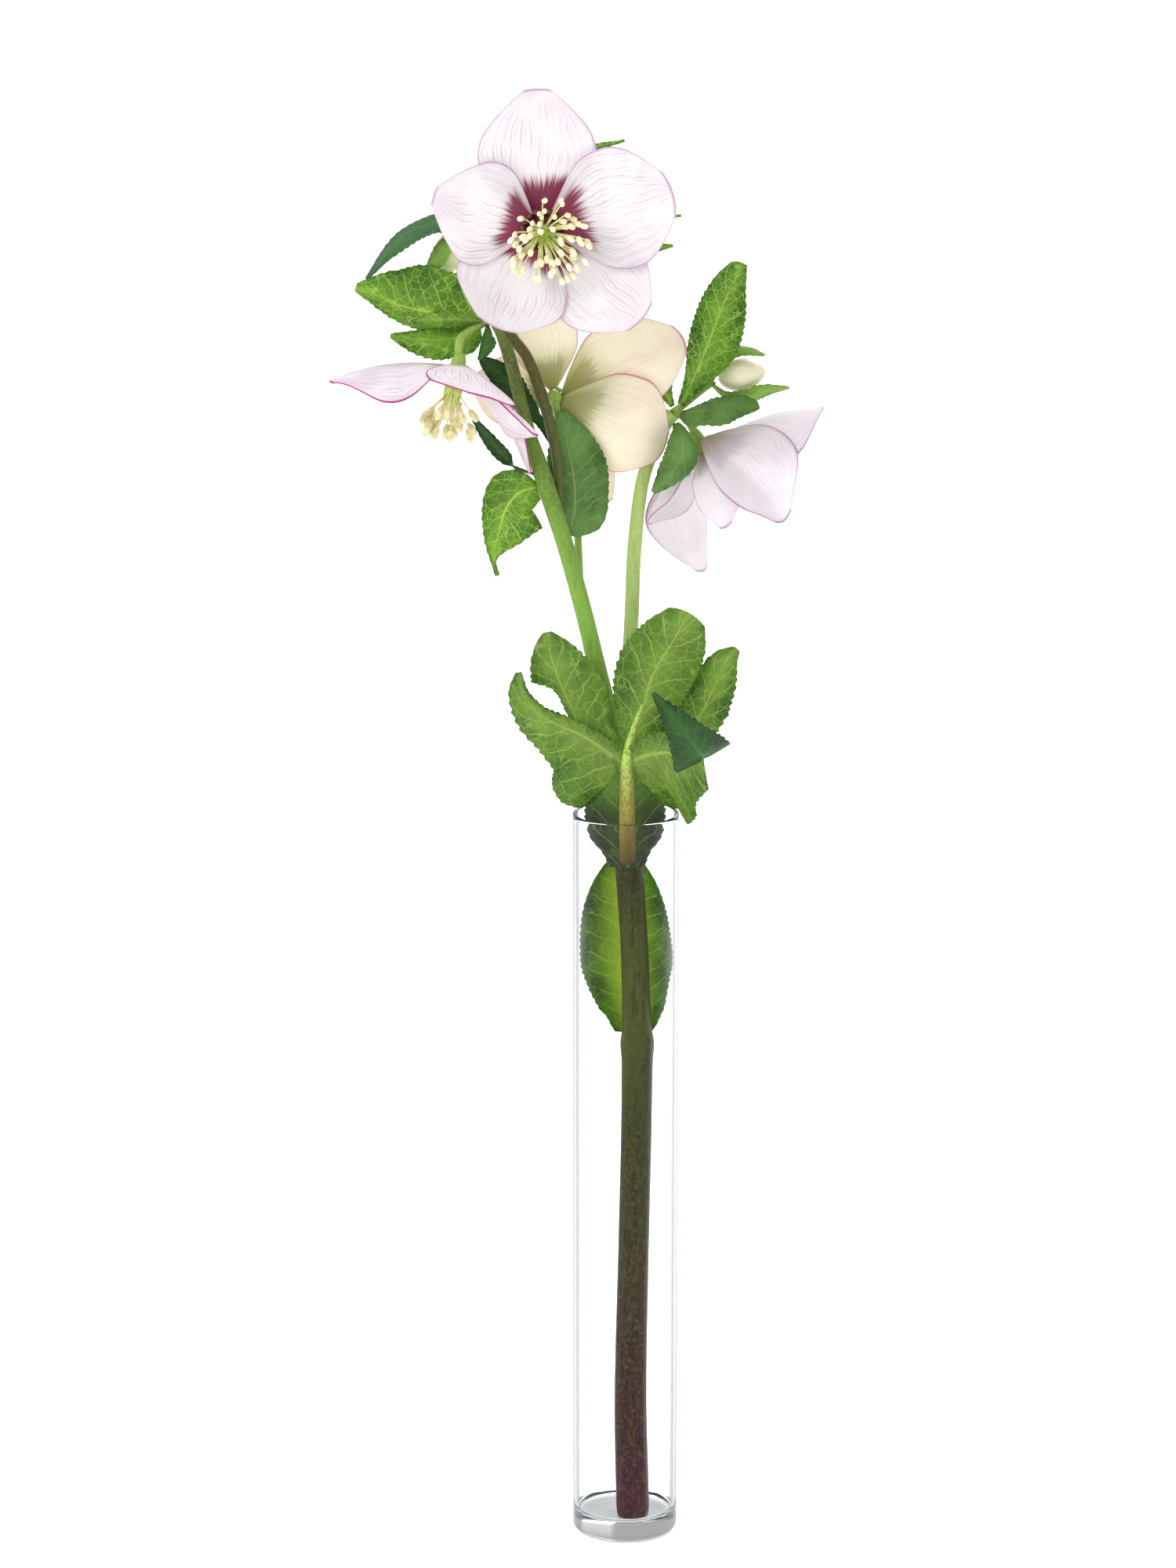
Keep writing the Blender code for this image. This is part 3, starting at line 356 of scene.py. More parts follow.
# The receptacles: the green knobs that carry each flower's sepals, grown with the stalks. Their
# height comes from the sepals' tables, so the flowers' places stand here. A flower is its middle,
# the way it faces and its sepals: name, layer, tip, width to the left and right, and sharpness.
FLOWERS = {
    "hero": ((-24.8, -31, 406.5), (0.10, -0.98, -0.10), [
        ("lower_right", 0, (4.6, -37, 380.9), 15.5, 17, 0.3),
        ("upper_right", 2, (13, -37, 417.3), 18, 18.5, 0.15),
        ("top", 0, (-25.8, -37, 447), 19, 18, 0.85),
        ("left", 2, (-55.2, -38, 416.6), 17.812, 15.9, 1),
        ("bottom", 1, (-37.5, -37.5, 378.4), 16.5, 17.5, 0.1)]),
    "left": ((-49, -12, 364.3), (-0.20, -0.10, -0.97), [
        ("front", 0, (-40.5, -40, 358), 15.5, 14, 0.2),
        ("front_right", 2, (-26.3, -24, 344.7), 9, 11, 0.3),
        ("back_right", 0, (-27.2, -9.5, 331.7), 7, 7, 0.6),
        ("back_left", 2, (-77.5, 8, 357.7), 11, 14, 0.6),
        ("left", 1, (-86.5, -18, 360.6), 16, 18, 0.9)]),
    "centre": ((-21.3, 9, 350.9), (0.20, 0.90, -0.38), [
        ("top_left", 0, (-27.5, 14, 383), 11, 11, 0.3),
        ("left", 2, (-45, 15, 354.5), 11, 11, 0.4),
        ("bottom", 1, (-5.7, 22, 316.5), 11, 10, 0.3),
        ("lower_right", 0, (12, 19, 334), 16.5, 15.5, 0.1),
        ("upper_right", 2, (17, 16, 368.2), 13, 13.5, 0.2)]),
    "right": ((21.5, 25, 335.8), (0.46, -0.06, -0.89), [
        ("upper_back", 2, (58.5, 38, 344.5), 15.5, 15.5, 0.6),
        ("front_right", 0, (47, 10, 314), 17.5, 17.5, 0.1),
        ("front", 2.6, (29.5, 4, 313), 8, 9.5, 0.3),
        ("left", 1.5, (6.6, 24, 310), 9.5, 9.5, 0.3),
        ("bottom", 0, (22.4, 36, 293.2), 14.5, 14.5, 0.3)]),
}
SEPAL_LAYER = 1.15
RECEPTACLE_RADIUS = 2.2
CLAW_GAP = 0.35
SEAT_GAP = 0.3
DISC_RADIUS = 2.3
DISC_HEIGHT = 0.9
SEPAL_BEND = 0.35
SEPAL_SWEEP = 0.25
UP = Vector((0, 0, 1))
FRONT = Vector((0, -1, 0))


def flower_axes(facing):
    """Right and up of a flower's face as its viewer sees it, and the direction faced."""
    facing = Vector(facing).normalized()
    reference = UP if abs(facing.z) < 0.7 else FRONT * -1
    right = reference.cross(facing).normalized()
    return right, facing.cross(right), facing


class FlowerSurface:
    """Common bowl of a flower's sepals, given by each sepal's tip; layers lie one over another."""

    def __init__(self, middle, facing, sepals):
        self.middle = Vector(middle)
        self.right, self.up, self.facing = flower_axes(facing)
        self.aims = []
        for _, layer, tip, _, _, _ in sepals:
            reach = Vector(tip) - self.middle
            lift = 0.0
            for _ in range(3):
                chord = reach - self.facing * lift
                side = Vector((chord.dot(self.right), chord.dot(self.up)))
                rise = math.atan2(chord.dot(self.facing), side.length - RECEPTACLE_RADIUS)
                lift = layer * SEPAL_LAYER / math.cos(rise)
            length = math.hypot(side.length - RECEPTACLE_RADIUS, chord.dot(self.facing))
            self.aims.append((math.atan2(side.y, side.x), rise, length))
        self.length = sum(aim[2] for aim in self.aims) / len(self.aims)
        self.order = sorted((angle % math.tau, rise) for angle, rise, _ in self.aims)

    def rise(self, angle):
        """Mean rise of the bowl in a direction, blended between neighbouring sepals."""
        angle = angle % math.tau
        ring = self.order
        ring = [(ring[-1][0] - math.tau, ring[-1][1])] + ring + [(ring[0][0] + math.tau, ring[0][1])]
        for (a, rise_a), (b, rise_b) in zip(ring, ring[1:]):
            if a <= angle <= b:
                share = (angle - a) / (b - a)
                return lerp(rise_a, rise_b, (1 - math.cos(math.pi * share)) / 2)
        return ring[0][1]

    def bowl(self, angle, distance):
        """Radius, height and slope of the bowl."""
        start = self.rise(angle) - SEPAL_BEND / 2
        turn = SEPAL_BEND * distance / self.length
        radius = self.length / SEPAL_BEND * (math.sin(start + turn) - math.sin(start))
        height = self.length / SEPAL_BEND * (math.cos(start) - math.cos(start + turn))
        return RECEPTACLE_RADIUS + radius, height, math.tan(start + turn)

    def point(self, angle, distance, layer):
        step = 0.02
        radius, height, slope = self.bowl(angle, distance)
        side_slope = (self.bowl(angle + step, distance)[1] - height) / (radius * step)
        height += layer * SEPAL_LAYER * min(math.hypot(1, slope, side_slope), 3.0)
        outward = self.right * math.cos(angle) + self.up * math.sin(angle)
        return self.middle + outward * radius + self.facing * height


def receptacle_top(flower):
    """Height of a receptacle over its middle: it carries all the sepal layers."""
    surface = FlowerSurface(*FLOWERS[flower])
    steepest = max(rise for _, rise in surface.order)
    layers = max(layer for _, layer, *_ in FLOWERS[flower][2])
    return layers * SEPAL_LAYER / max(math.cos(steepest - SEPAL_BEND / 2), 0.35) + 0.4


def receptacle_points(flower):
    middle, facing, _ = FLOWERS[flower]
    axis = Vector(facing).normalized()
    top = receptacle_top(flower)
    return [(Vector(middle) + axis * height, radius) for height, radius in
            ((-3.0, 1.3), (-1.4, 2.0), (top / 2, RECEPTACLE_RADIUS), (top, RECEPTACLE_RADIUS))]


def add_run(name, route_points, rows, columns, skin, ribs=0, rib_depth=0.0):
    sheet = tube_sheet(route_points, rows, columns, 0, ribs, rib_depth)
    return place_piece(grow(name, [sheet], [skin]), "stem")


main = add_run("main_stem_run", MAIN_STEM, 120, 48, old_skin, 9, 0.012)
main.data.materials.append(cut_end)
for face in main.data.polygons:
    if face.normal.z < -0.9 and face.center.z < CUT_TOP:
        face.material_index = 1
add_run("left_branch_run", LEFT_BRANCH, 110, 28, left_skin, 7, 0.02)
add_run("right_branch_run", RIGHT_BRANCH, 80, 28, right_skin, 7, 0.02)
for flower, stalk in FLOWER_STALKS.items():
    receptacle = receptacle_points(flower)
    neck = (receptacle[0][0].lerp(receptacle[1][0], 1.4), 1.1)
    skin = brown_stalk_skin if flower == "hero" else green_stalk_skin
    add_run(flower + "_stalk_run", stalk + [neck], 48, 20, skin, 6, 0.02)
    add_run(flower + "_receptacle_run", receptacle, 12, 24, green_stalk_skin, 5, 0.03)
for bud, stalk in BUD_STALKS.items():
    add_run(bud + "_bud_stalk_run", stalk, 20, 16, green_stalk_skin)


# The bract at the rim: five toothed lobes round a broad stalk, with a sheath that starts inside
# the vase. A blade is its midrib, the way it faces, its left and right half, and its wave. A half
# is its width, an outline of (place along the midrib, share of the width) and its bend.
LEAF = [(0, 0.18), (0.15, 0.42), (0.38, 0.92), (0.55, 1), (0.75, 0.8), (0.9, 0.42), (1, 0.12)]
BROAD = [(0, 0.3), (0.12, 0.85), (0.35, 0.98), (0.55, 1), (0.75, 0.78), (0.9, 0.42), (1, 0.12)]
LOBE = [(0, 0.14), (0.2, 0.3), (0.45, 0.76), (0.68, 1), (0.86, 0.8), (0.95, 0.5), (1, 0.18)]
BLUNT = [(0, 0.12), (0.2, 0.45), (0.38, 0.82), (0.55, 0.98), (0.75, 1), (0.9, 0.84), (1, 0.5)]
WIDE = [(0, 0.12), (0.2, 0.45), (0.38, 0.82), (0.55, 1), (0.75, 0.92), (0.9, 0.62), (1, 0.14)]
FLAP = [(0, 0.92), (0.15, 1), (0.38, 0.72), (0.55, 0.5), (0.72, 0.36), (0.88, 0.22), (1, 0.06)]
SIDE_FLAP = [(0, 0.3), (0.45, 0.25), (0.64, 0.35), (0.76, 0.95), (0.86, 0.9), (0.95, 0.5), (1, 0.12)]
RISING = [(0, 0.35), (0.3, 0.6), (0.6, 0.8), (0.85, 0.98), (1, 1)]
HANGING = [(0, 0.7), (0.15, 0.92), (0.35, 1), (0.6, 0.9), (0.8, 0.66), (1, 0.42)]
POINTED = [(0, 1), (0.25, 0.84), (0.5, 0.58), (0.75, 0.33), (1, 0.06)]
DROOPING_LOW = [(0, 0.34), (0.12, 0.6), (0.25, 0.9), (0.45, 1), (0.65, 0.6), (0.84, 0.1), (1, 0.05)]
DROOPING_HIGH = [(0, 0.2), (0.1, 0.65), (0.22, 1), (0.42, 0.78), (0.65, 0.5), (0.85, 0.12), (1, 0.06)]
SHEATH = [(0, 0.45), (0.12, 0.62), (0.22, 0.88), (0.38, 1), (0.6, 1), (0.8, 0.96), (1, 0.9)]
CLASPING = [(0, 0.42), (0.15, 0.72), (0.4, 0.98), (0.55, 1), (0.8, 0.9), (0.93, 0.7), (1, 0.45)]
BRACT_STALK = [((0.6, -2, 212.5), 1.5), ((0.4, -3.2, 224.4), 1.7), ((0.3, -4.4, 236), 1.7),
               ((0.4, -5.2, 246), 1.4), ((2.2, -5, 254), 0.9), ((4.9, -4.6, 261.3), 0.6)]
BRACT_LOBES = {
    "middle": (
        [(0.6, -5, 243), (4.6, -4.4, 258), (7.9, -3.4, 269.7), (14.1, -2, 280.2), (18.6, -1.5, 288.2)],
        (0, -1, -0.1), (12, BLUNT, -0.2), (12.6, BLUNT, -0.2), 0.5),
    "upper_left": (
        [(0.3, -5.4, 241.8), (-6.2, -6, 248.6), (-12.5, -7, 253.4), (-18.4, -6.4, 264.9),
         (-21.8, -7, 274.6), (-23.8, -9, 283.8)],
        FRONT, (8.4, SIDE_FLAP, -0.3), (12.8, WIDE, -0.25), 0.4),
    "lower_left": (
        [(0.1, -4.6, 243), (-6.2, -6.6, 248), (-12.7, -9, 252.8), (-19.7, -11, 256.2), (-25.9, -12, 260),
         (-30.3, -12.5, 266.2), (-31.4, -12.5, 272.6)],
        FRONT, (23, FLAP, -0.5), (3.8, BROAD, 0.2), 0.7),
    "lower_right": (
        [(0.6, -4.6, 243.4), (6.6, -9, 247.2), (14.5, -17, 249.4), (22.4, -26.2, 250.2)],
        FRONT, (9.6, RISING, 0.1), (25, HANGING, -0.3), 0.5),
    "folded_end": (
        [(22.8, -25.4, 249.4), (21, -29, 252.6), (15.6, -31.6, 260.4), (7.6, -33, 270.8)],
        FRONT, (9.8, POINTED, -0.1), (9.4, POINTED, -0.1), 0.2),
    "upper_right": (
        [(1.1, -3.1, 242.2), (10.8, -1.5, 248), (20.5, 1, 254.4), (26, 2.2, 264.3), (29.5, 2.2, 272.4),
         (33, 2, 276.6)],
        FRONT, (9, WIDE, -0.2), (7.8, WIDE, -0.2), 0.3),
    "sheath": (
        [(0.6, -2.6, 210.5), (0.4, -3.8, 224), (0.3, -4.8, 236), (0.3, -5.4, 246)],
        FRONT, (14.6, SHEATH, -0.85), (13.2, SHEATH, -0.85), 0.3),
}
STALK_SWELL = (1.7, 0.8)
TIP_SWEEP = 0.12
TOOTH_LENGTH = 2.2
LEAF_THICKNESS = 0.45
RIPPLE = 0.3
GROOVE_DEPTH = 0.25
GROOVE_WIDTH = 0.8
VASE_SHADE = (0.234, 0.225)


def blade_place(midrib, faced, left_half, right_half, wave, teeth, depth, seed):
    """Point of a leaf blade: each half is an arc about the midrib, waved and toothed."""
    route = Route(midrib)
    towards = Vector(faced)

    def place(u, v):
        width, outline, bend = left_half if v > 0 else right_half
        share = abs(v)
        reach = smooth_value(outline, u)
        width *= reach
        tooth = 1 - (u * teeth) % 1
        width -= depth * (0.4 + 0.6 * u) * tooth * share ** 8 * min(1.0, 6 * (1 - u))
        t = u * (1 - TIP_SWEEP * (share * reach) ** 2 * u ** 2)
        along = route.direction(t)
        normal = (towards - along * towards.dot(along)).normalized()
        left = normal.cross(along)
        across = width / bend * math.sin(bend * share)
        rise = width / bend * (1 - math.cos(bend * share))
        phase = 1.3 if v > 0 else 2.9
        inside = min(1.0, 4 * u * (1 - u))
        rise += wave * share ** 2 * math.sin(u * 14 + phase) * inside
        rise += RIPPLE * inside * noise.noise(Vector((u * 9 + seed, v * 2.4, seed)))
        rise -= GROOVE_DEPTH * math.exp(-(v * width / GROOVE_WIDTH) ** 2) * (1 - u)
        return route.at(t) + left * math.copysign(across, v) + normal * rise

    return place


def new_group(name, inputs, outputs):
    """A node group, its input sockets and its end; inputs are vectors unless they have a default."""
    group = bpy.data.node_groups.new(name, "ShaderNodeTree")
    for label, default in inputs.items():
        kind = "NodeSocketVector" if default is None else "NodeSocketFloat"
        socket = group.interface.new_socket(label, in_out="INPUT", socket_type=kind)
        if default is not None:
            socket.default_value = default
    for label in outputs:
        group.interface.new_socket(label, in_out="OUTPUT", socket_type="NodeSocketFloat")
    return group, group.nodes.new("NodeGroupInput").outputs, group.nodes.new("NodeGroupOutput")


def from_middle(value):
    """Distance of a 0..1 value from its middle."""
    return reckon("ABSOLUTE", reckon("SUBTRACT", value, 0.5))


def vein_net_group():
    """Midrib, side veins and the net between them, from the blade's own coordinates."""
    group, given, result = new_group(
        "leaf_vein_net", {"Skin": None, "Place": None, "Side Veins": 8, "Net Scale": 340},
        ("Main", "Net", "Middle"))
    parts = node(group, "SeparateXYZ", Vector=given["Skin"]).outputs
    u, v = parts["X"], parts["Y"]
    aside = times(from_middle(v), 2)
    midrib = step_up(reckon("DIVIDE", aside, reckon("MULTIPLY_ADD", u, -0.06, 0.075)), 1, 0.4)
    waver = node(group, "TexNoise", Vector=given["Place"], Scale=160, Detail=2).outputs
    lean = reckon("MULTIPLY_ADD", reckon("POWER", aside, 0.8), -1.9, times(u, given["Side Veins"]))
    lean = reckon("MULTIPLY_ADD", waver["Fac"], 0.7, lean)
    line = from_middle(reckon("FRACT", lean))
    side = times(step_up(line, 0.06, 0.015), step_up(aside, 1, 0.55))
    shifted = reckon("MULTIPLY_ADD", waver["Color"], (0.004, 0.004, 0.004), given["Place"], kind="VectorMath")
    coarse, fine = (
        node(group, "TexVoronoi", feature="DISTANCE_TO_EDGE", Vector=shifted, Scale=scale).outputs["Distance"]
        for scale in (given["Net Scale"], times(given["Net Scale"], 2.7)))
    net = reckon("MAXIMUM", step_up(coarse, 0.05, 0.012), step_up(fine, 0.09, 0.02, 0, 0.4))
    feed(result, Main=reckon("MAXIMUM", midrib, side), Net=net, Middle=step_up(aside, 0.75, 0))
    return group


vein_net = vein_net_group()


def leaf_finish(name, blade, deep, vein, side_veins=8, net_scale=340, through=0.4, net_share=0.42,
                middle_share=0.3, vase_shade_colour=None):
    """Leaf skin: mottled green, pale veins, a soft shine, light that comes through and, if given, painted
    shade below the vase's rim.
    """
    material, tree, shader = new_material(name, blade, 0.36, Specular_IOR_Level=0.3)
    where = node(tree, "TexCoord").outputs
    net = node(tree, "Group", node_tree=vein_net, Skin=where["UV"], Place=where["Object"],
               Side_Veins=side_veins, Net_Scale=net_scale).outputs
    colour = blend_colour(step_up(speckle(tree, 110), 0.35, 0.68), blade, deep)
    # Below the vase's rim the colour goes over to the given colour: painted shade from the vase.
    if vase_shade_colour:
        height = node(tree, "SeparateXYZ", Vector=where["Object"]).outputs["Z"]
        colour = blend_colour(step_up(height, *VASE_SHADE), colour, vase_shade_colour)
    grain = times(step_up(speckle(tree, 1500), 0.4, 0.7), 0.3)
    colour = blend_colour(grain, colour, tuple(0.7 * c for c in deep))
    for veins, share in (("Middle", middle_share), ("Net", net_share), ("Main", 0.7)):
        colour = blend_colour(times(net[veins], share), colour, vein)
    emboss(shader, colour, reckon("ADD", net["Main"], times(net["Net"], 0.5)), 0.5, 0.0004)
    mix_shaders(through, shader, node(tree, "BsdfTranslucent", Color=colour))
    return material


bright_leaf = leaf_finish("bright_leaf", srgb(114, 168, 46), srgb(58, 114, 28), srgb(206, 236, 116), 8, 340,
                          0.5, 0.62, 0.25)
rim_leaf = leaf_finish("rim_leaf", srgb(104, 148, 46), srgb(62, 110, 30), srgb(186, 212, 104), 7, 260)
# Deep green for leaves in the flowers' shade and the folded lobe's end: the leaf's own deep green, darkened
# further with painted shade.
shaded_dark_leaf = leaf_finish("shaded_dark_leaf", srgb(30, 72, 22), srgb(14, 44, 14), srgb(66, 118, 44), 8, 340, 0.1, 0.3)
# The sheath's last colour is the painted shade it takes below the vase's rim.
sheath_leaf = leaf_finish("sheath_leaf", srgb(88, 128, 38), srgb(54, 92, 26), srgb(120, 150, 60), 5, 300,
                          0.25, 0.3, 0.2, srgb(24, 32, 10))
rim_stalk_skin = stem_skin("rim_stalk_skin", [
    (200, 60, 48, 22), (224, 84, 70, 32), (232, 132, 118, 56), (245, 160, 160, 78),
    (262, 172, 206, 100),
], srgb(96, 66, 40), 0.3, srgb(110, 72, 44), 0.5)


def add_blade(name, spec, material, cad_node, columns=18, depth=0.8):
    teeth = max(8, round(Route(spec[0]).length / TOOTH_LENGTH))
    place = blade_place(*spec, teeth, depth, len(name) * 1.7)
    blade = grow(name, [(4 * teeth, columns, place, 0)], [material], LEAF_THICKNESS)
    return place_piece(blade, cad_node)


for lobe, spec in BRACT_LOBES.items():
    finish = {"folded_end": shaded_dark_leaf, "sheath": sheath_leaf}.get(lobe, rim_leaf)
    add_blade("rim_bract_lobe_" + lobe, spec, finish, "rim_bract", 28, 1.3)
broad_stalk = [(point, radius * lerp(*STALK_SWELL, i / (len(BRACT_STALK) - 1)))
               for i, (point, radius) in enumerate(BRACT_STALK)]
rim_stalk = grow("rim_bract_stalk", [tube_sheet(broad_stalk, 60, 20, 0, 5, 0.04)], [rim_stalk_skin])
place_piece(rim_stalk, "rim_bract")


# The leaf inside the vase: it clasps the stem above the node and lines the glass behind it.
# Light comes through it from behind; its green is painted brighter and its veins and middle paler, as painted
# backlight.
CLASPING_LEAF = (
    [(2.6, 7, 156.7), (2.4, 9.6, 163.5), (1, 12.4, 175), (-0.3, 13.7, 190.8), (-0.3, 13.7, 209.5)],
    FRONT, (20.2, CLASPING, 1.39), (20.2, CLASPING, 1.39), 0.15)
# Bright green with very pale veins and middle: painted backlight over the leaf's own colour.
painted_backlight_leaf = leaf_finish("painted_backlight_leaf", srgb(130, 184, 44), srgb(62, 120, 26), srgb(232, 248, 120), 9, 300,
                           0.6, 0.4, 0.75)
add_blade("clasping_leaf", CLASPING_LEAF, painted_backlight_leaf, "vase_leaf", 32, 1.4)


# The bracts below the left flowers: a large backlit one with a fold and a lower lobe, a small
# one at the fork and one that arches over and droops.
UPPER_LEAVES = {
    "upper_leaf_drooping": (
        [(-40, 2.2, 393.9), (-46, 1, 400.8), (-52.5, 0, 404), (-60.4, -1, 402.8), (-67.7, -2, 397.7),
         (-76, -3, 387.8)],
        (-0.35, -0.45, 0.85), (5.5, LEAF, -0.3), (5.5, LEAF, -0.3), 0.3),
    "upper_leaf_large": (
        [(-41.7, 0, 375.1), (-49.2, 1.8, 375.6), (-57.5, 2, 377), (-66.5, 3, 379.2), (-73.4, 4, 381.9),
         (-79.6, 5, 383.8)],
        (0, -1, 0.1), (5.6, BROAD, 0.3), (14, BROAD, 0.35), 0.7),
    "upper_leaf_fold": (
        [(-42.4, -4.2, 375.7), (-49.1, -5.6, 376.2), (-55.9, -5.8, 376.2), (-62.6, -4.6, 375.5)],
        (0, -0.8, 0.6), (3.4, LEAF, 0.5), (3.2, LEAF, 0.5), 0.1),
    "upper_leaf_lower": (
        [(-42.5, -1.6, 371.9), (-50.4, -1.6, 370.4), (-58.4, -1.6, 369.8), (-69.2, -0.5, 370.9)],
        FRONT, (6.2, BROAD, 0.3), (3.6, BROAD, 0.2), 0.4),
    "upper_leaf_small": (
        [(-40.6, -3.7, 374.6), (-41, -7.4, 369.4), (-43.2, -7.2, 364.6)],
        (0.6, -0.8, 0), (3.2, LEAF, 0.5), (2.6, LEAF, 0.5), 0.1),
}
UPPER_FINISHES = {
    "upper_leaf_drooping": leaf_finish("drooping_leaf", srgb(70, 116, 70), srgb(48, 92, 54),
                                       srgb(104, 148, 92), 8, 420, 0.25),
    "upper_leaf_small": leaf_finish("small_leaf", srgb(64, 118, 40), srgb(44, 92, 30),
                                    srgb(110, 156, 70), 6, 500, 0.3),
}


def add_leaves(leaves, finishes):
    """Blades that each stand for a node of their own, bright unless a finish is given."""
    for name, spec in leaves.items():
        add_blade(name + "_blade", spec, finishes.get(name, bright_leaf), name)


add_leaves(UPPER_LEAVES, UPPER_FINISHES)


# The bracts at the middle fork: a broad one before the stalks, a drooping one, a narrow folded
# one and a dark one in the flowers' shade.
MIDDLE_LEAVES = {
    "middle_leaf_dark": (
        [(-22.3, 2.3, 338.7), (-26, 4.6, 345), (-31, 5, 351.2), (-36.3, 4.6, 357.9), (-42.9, 4, 363.4)],
        (0, -1, 0.1), (4.6, LOBE, 0.3), (4.4, LOBE, 0.3), 0.3),
    "middle_leaf_left": (
        [(-26.4, 0.1, 325.8), (-31.6, -0.4, 324.2), (-35.6, -1.4, 319.5), (-37.7, -2, 312.5),
         (-39.3, -2.4, 305.2), (-38.2, -2.4, 299.6)],
        FRONT, (12.2, DROOPING_LOW, 0.3), (9.2, DROOPING_HIGH, 0.4), 0.4),
    "middle_leaf_narrow": (
        [(-27.3, -5.2, 330.7), (-32.8, -8, 333.2), (-38.4, -8.4, 339.1), (-42.8, -8.2, 344.9),
         (-46, -8, 349.8)],
        (-0.65, -0.15, 0.8), (2.4, LEAF, 0.35), (2.4, LEAF, 0.35), 0.2),
    "middle_leaf_right": (
        [(-17.4, 3.1, 310.8), (-15.4, 4.2, 318.6), (-15.8, 5, 328.7), (-17.8, 5.4, 339.1),
         (-19.6, 3.6, 347.6)],
        (0.1, -1, 0), (8, BROAD, 0.1), (11.5, BROAD, -0.6), 0.5),
}
deep_leaf = leaf_finish("deep_leaf", srgb(102, 148, 66), srgb(58, 102, 40), srgb(140, 178, 98), 9, 340,
                        0.25, 0.25)
add_leaves(MIDDLE_LEAVES, {"middle_leaf_dark": shaded_dark_leaf, "middle_leaf_narrow": shaded_dark_leaf,
                           "middle_leaf_right": deep_leaf})


# The bracts at the right fork: a tall upright one, a curled one over the flower's neck, one that
# droops before the branch and a small inner one.
RIGHT_LEAVES = {
    "right_leaf_upright": (
        [(16.2, 23.4, 346.6), (19.4, 23, 352.8), (23.6, 22.6, 363), (28, 23, 374.6), (31.2, 23, 382.1),
         (34.8, 23, 388.8)],
        FRONT, (7.2, BLUNT, 0.35), (9.4, LEAF, 0.35), 0.5),
    "right_leaf_curled": (
        [(16.3, 21, 344.1), (21.2, 17.8, 345.4), (26.4, 17, 345.9), (32.9, 17, 346.8), (39.6, 18.5, 346.6)],
        (0, -0.75, 0.65), (4.2, BLUNT, 0.6), (5.2, BROAD, -0.5), 0.3),
    "right_leaf_drooping": (
        [(14.9, 20.3, 341.5), (16.2, 14.6, 338.8), (16.6, 13.4, 332.4), (12.6, 13.4, 326.5),
         (8, 14, 321.6)],
        (0, -1, 0.1), (5, LEAF, -0.5), (5.8, LEAF, 0.4), 0.3),
    "right_leaf_inner": (
        [(13.9, 24.2, 345.8), (10.9, 25.4, 351.4), (8.9, 25.4, 356.4), (7.4, 25, 361)],
        FRONT, (3.6, LEAF, 0.3), (3.6, LEAF, 0.3), 0.2),
}
add_leaves(RIGHT_LEAVES, {"right_leaf_curled": deep_leaf, "right_leaf_drooping": deep_leaf})


# The bracts behind the largest flower: long and narrow, of which the front shows the tips.
BACK_LEAVES = {
    "back_leaf_upper": (
        [(-35.1, 2.8, 391.3), (-25.1, 4, 408.4), (-14.1, 2, 423), (-0.7, 0, 427.8)],
        (-0.5, -0.2, 0.85), (4.6, LEAF, 0.2), (4.6, LEAF, 0.2), 0.3),
    "back_leaf_middle": (
        [(-34.5, 3.3, 389), (-18.2, 6, 398.6), (0.1, 4, 404), (15.8, 0, 405.9)],
        (-0.2, -0.2, 0.95), (4.2, LEAF, 0.2), (4.2, LEAF, 0.2), 0.3),
    "back_leaf_lower": (
        [(-34.6, 2.6, 387.9), (-18.2, 4.4, 390.6), (0.1, 2.4, 394.6), (13.4, 0, 397.2)],
        (-0.1, -0.9, 0.4), (3.4, LEAF, 0.2), (3.4, LEAF, 0.2), 0.3),
}
add_leaves(BACK_LEAVES, {})


# The buds: closed ovals of overlapping pale sepals, each held by small bracts. A bud is the place
# of its stalk's end and of its tip, and its radius.
BUDS = {"left": ((-49.2, 8, 401.2), (-54.2, 8, 387), 4.6),
        "right": ((27.6, 27.2, 353.4), (41.8, 27, 356.4), 4.8)}
BUD_BRACTS = {
    "bud_bract_left": (
        [(-48.5, 5.6, 401.5), (-52.6, 1.8, 398), (-55.2, 2, 394), (-57.6, 3.2, 389.6), (-59, 4.2, 385.6)],
        (-0.5, -0.8, 0.1), (3.2, LEAF, -0.6), (3.2, LEAF, -0.6), 0),
    "bud_bract_lower": (
        [(25.7, 25.8, 351.8), (31, 22.6, 348.6), (36, 22.2, 349), (42, 22.6, 350.8), (48.6, 23.6, 351.6)],
        (0, -0.8, -0.6), (3.4, LEAF, -0.3), (3.6, LEAF, -0.5), 0.1),
    "bud_bract_upper": (
        [(25.5, 27.5, 354.5), (28, 26.6, 359.8), (32, 26, 362.4), (36.6, 26, 362.4), (41.4, 26, 361)],
        (0, -0.6, 0.8), (2.8, LEAF, -0.6), (2.8, LEAF, -0.6), 0.1),
}
BUD_OUTLINE = [(0, 0), (0.04, 0.34), (0.16, 0.7), (0.34, 0.96), (0.52, 1), (0.72, 0.86), (0.88, 0.54),
               (0.96, 0.28), (1, 0)]


def bud_place(top, bottom, radius):
    """Point of a bud: the edges of its sepals wind round it as low ridges."""
    top, bottom = Vector(top), Vector(bottom)
    axis = (bottom - top).normalized()
    side = axis.cross(FRONT).normalized()
    other = axis.cross(side)

    def place(u, v):
        angle = math.pi * v
        lap = ((2.5 * (v + 1) + 0.35 * u) % 1) ** 3
        reach = radius * smooth_value(BUD_OUTLINE, u) * (0.99 + 0.05 * lap * math.sin(math.pi * u))
        return top.lerp(bottom, u) + side * reach * math.cos(angle) + other * reach * math.sin(angle)

    return place


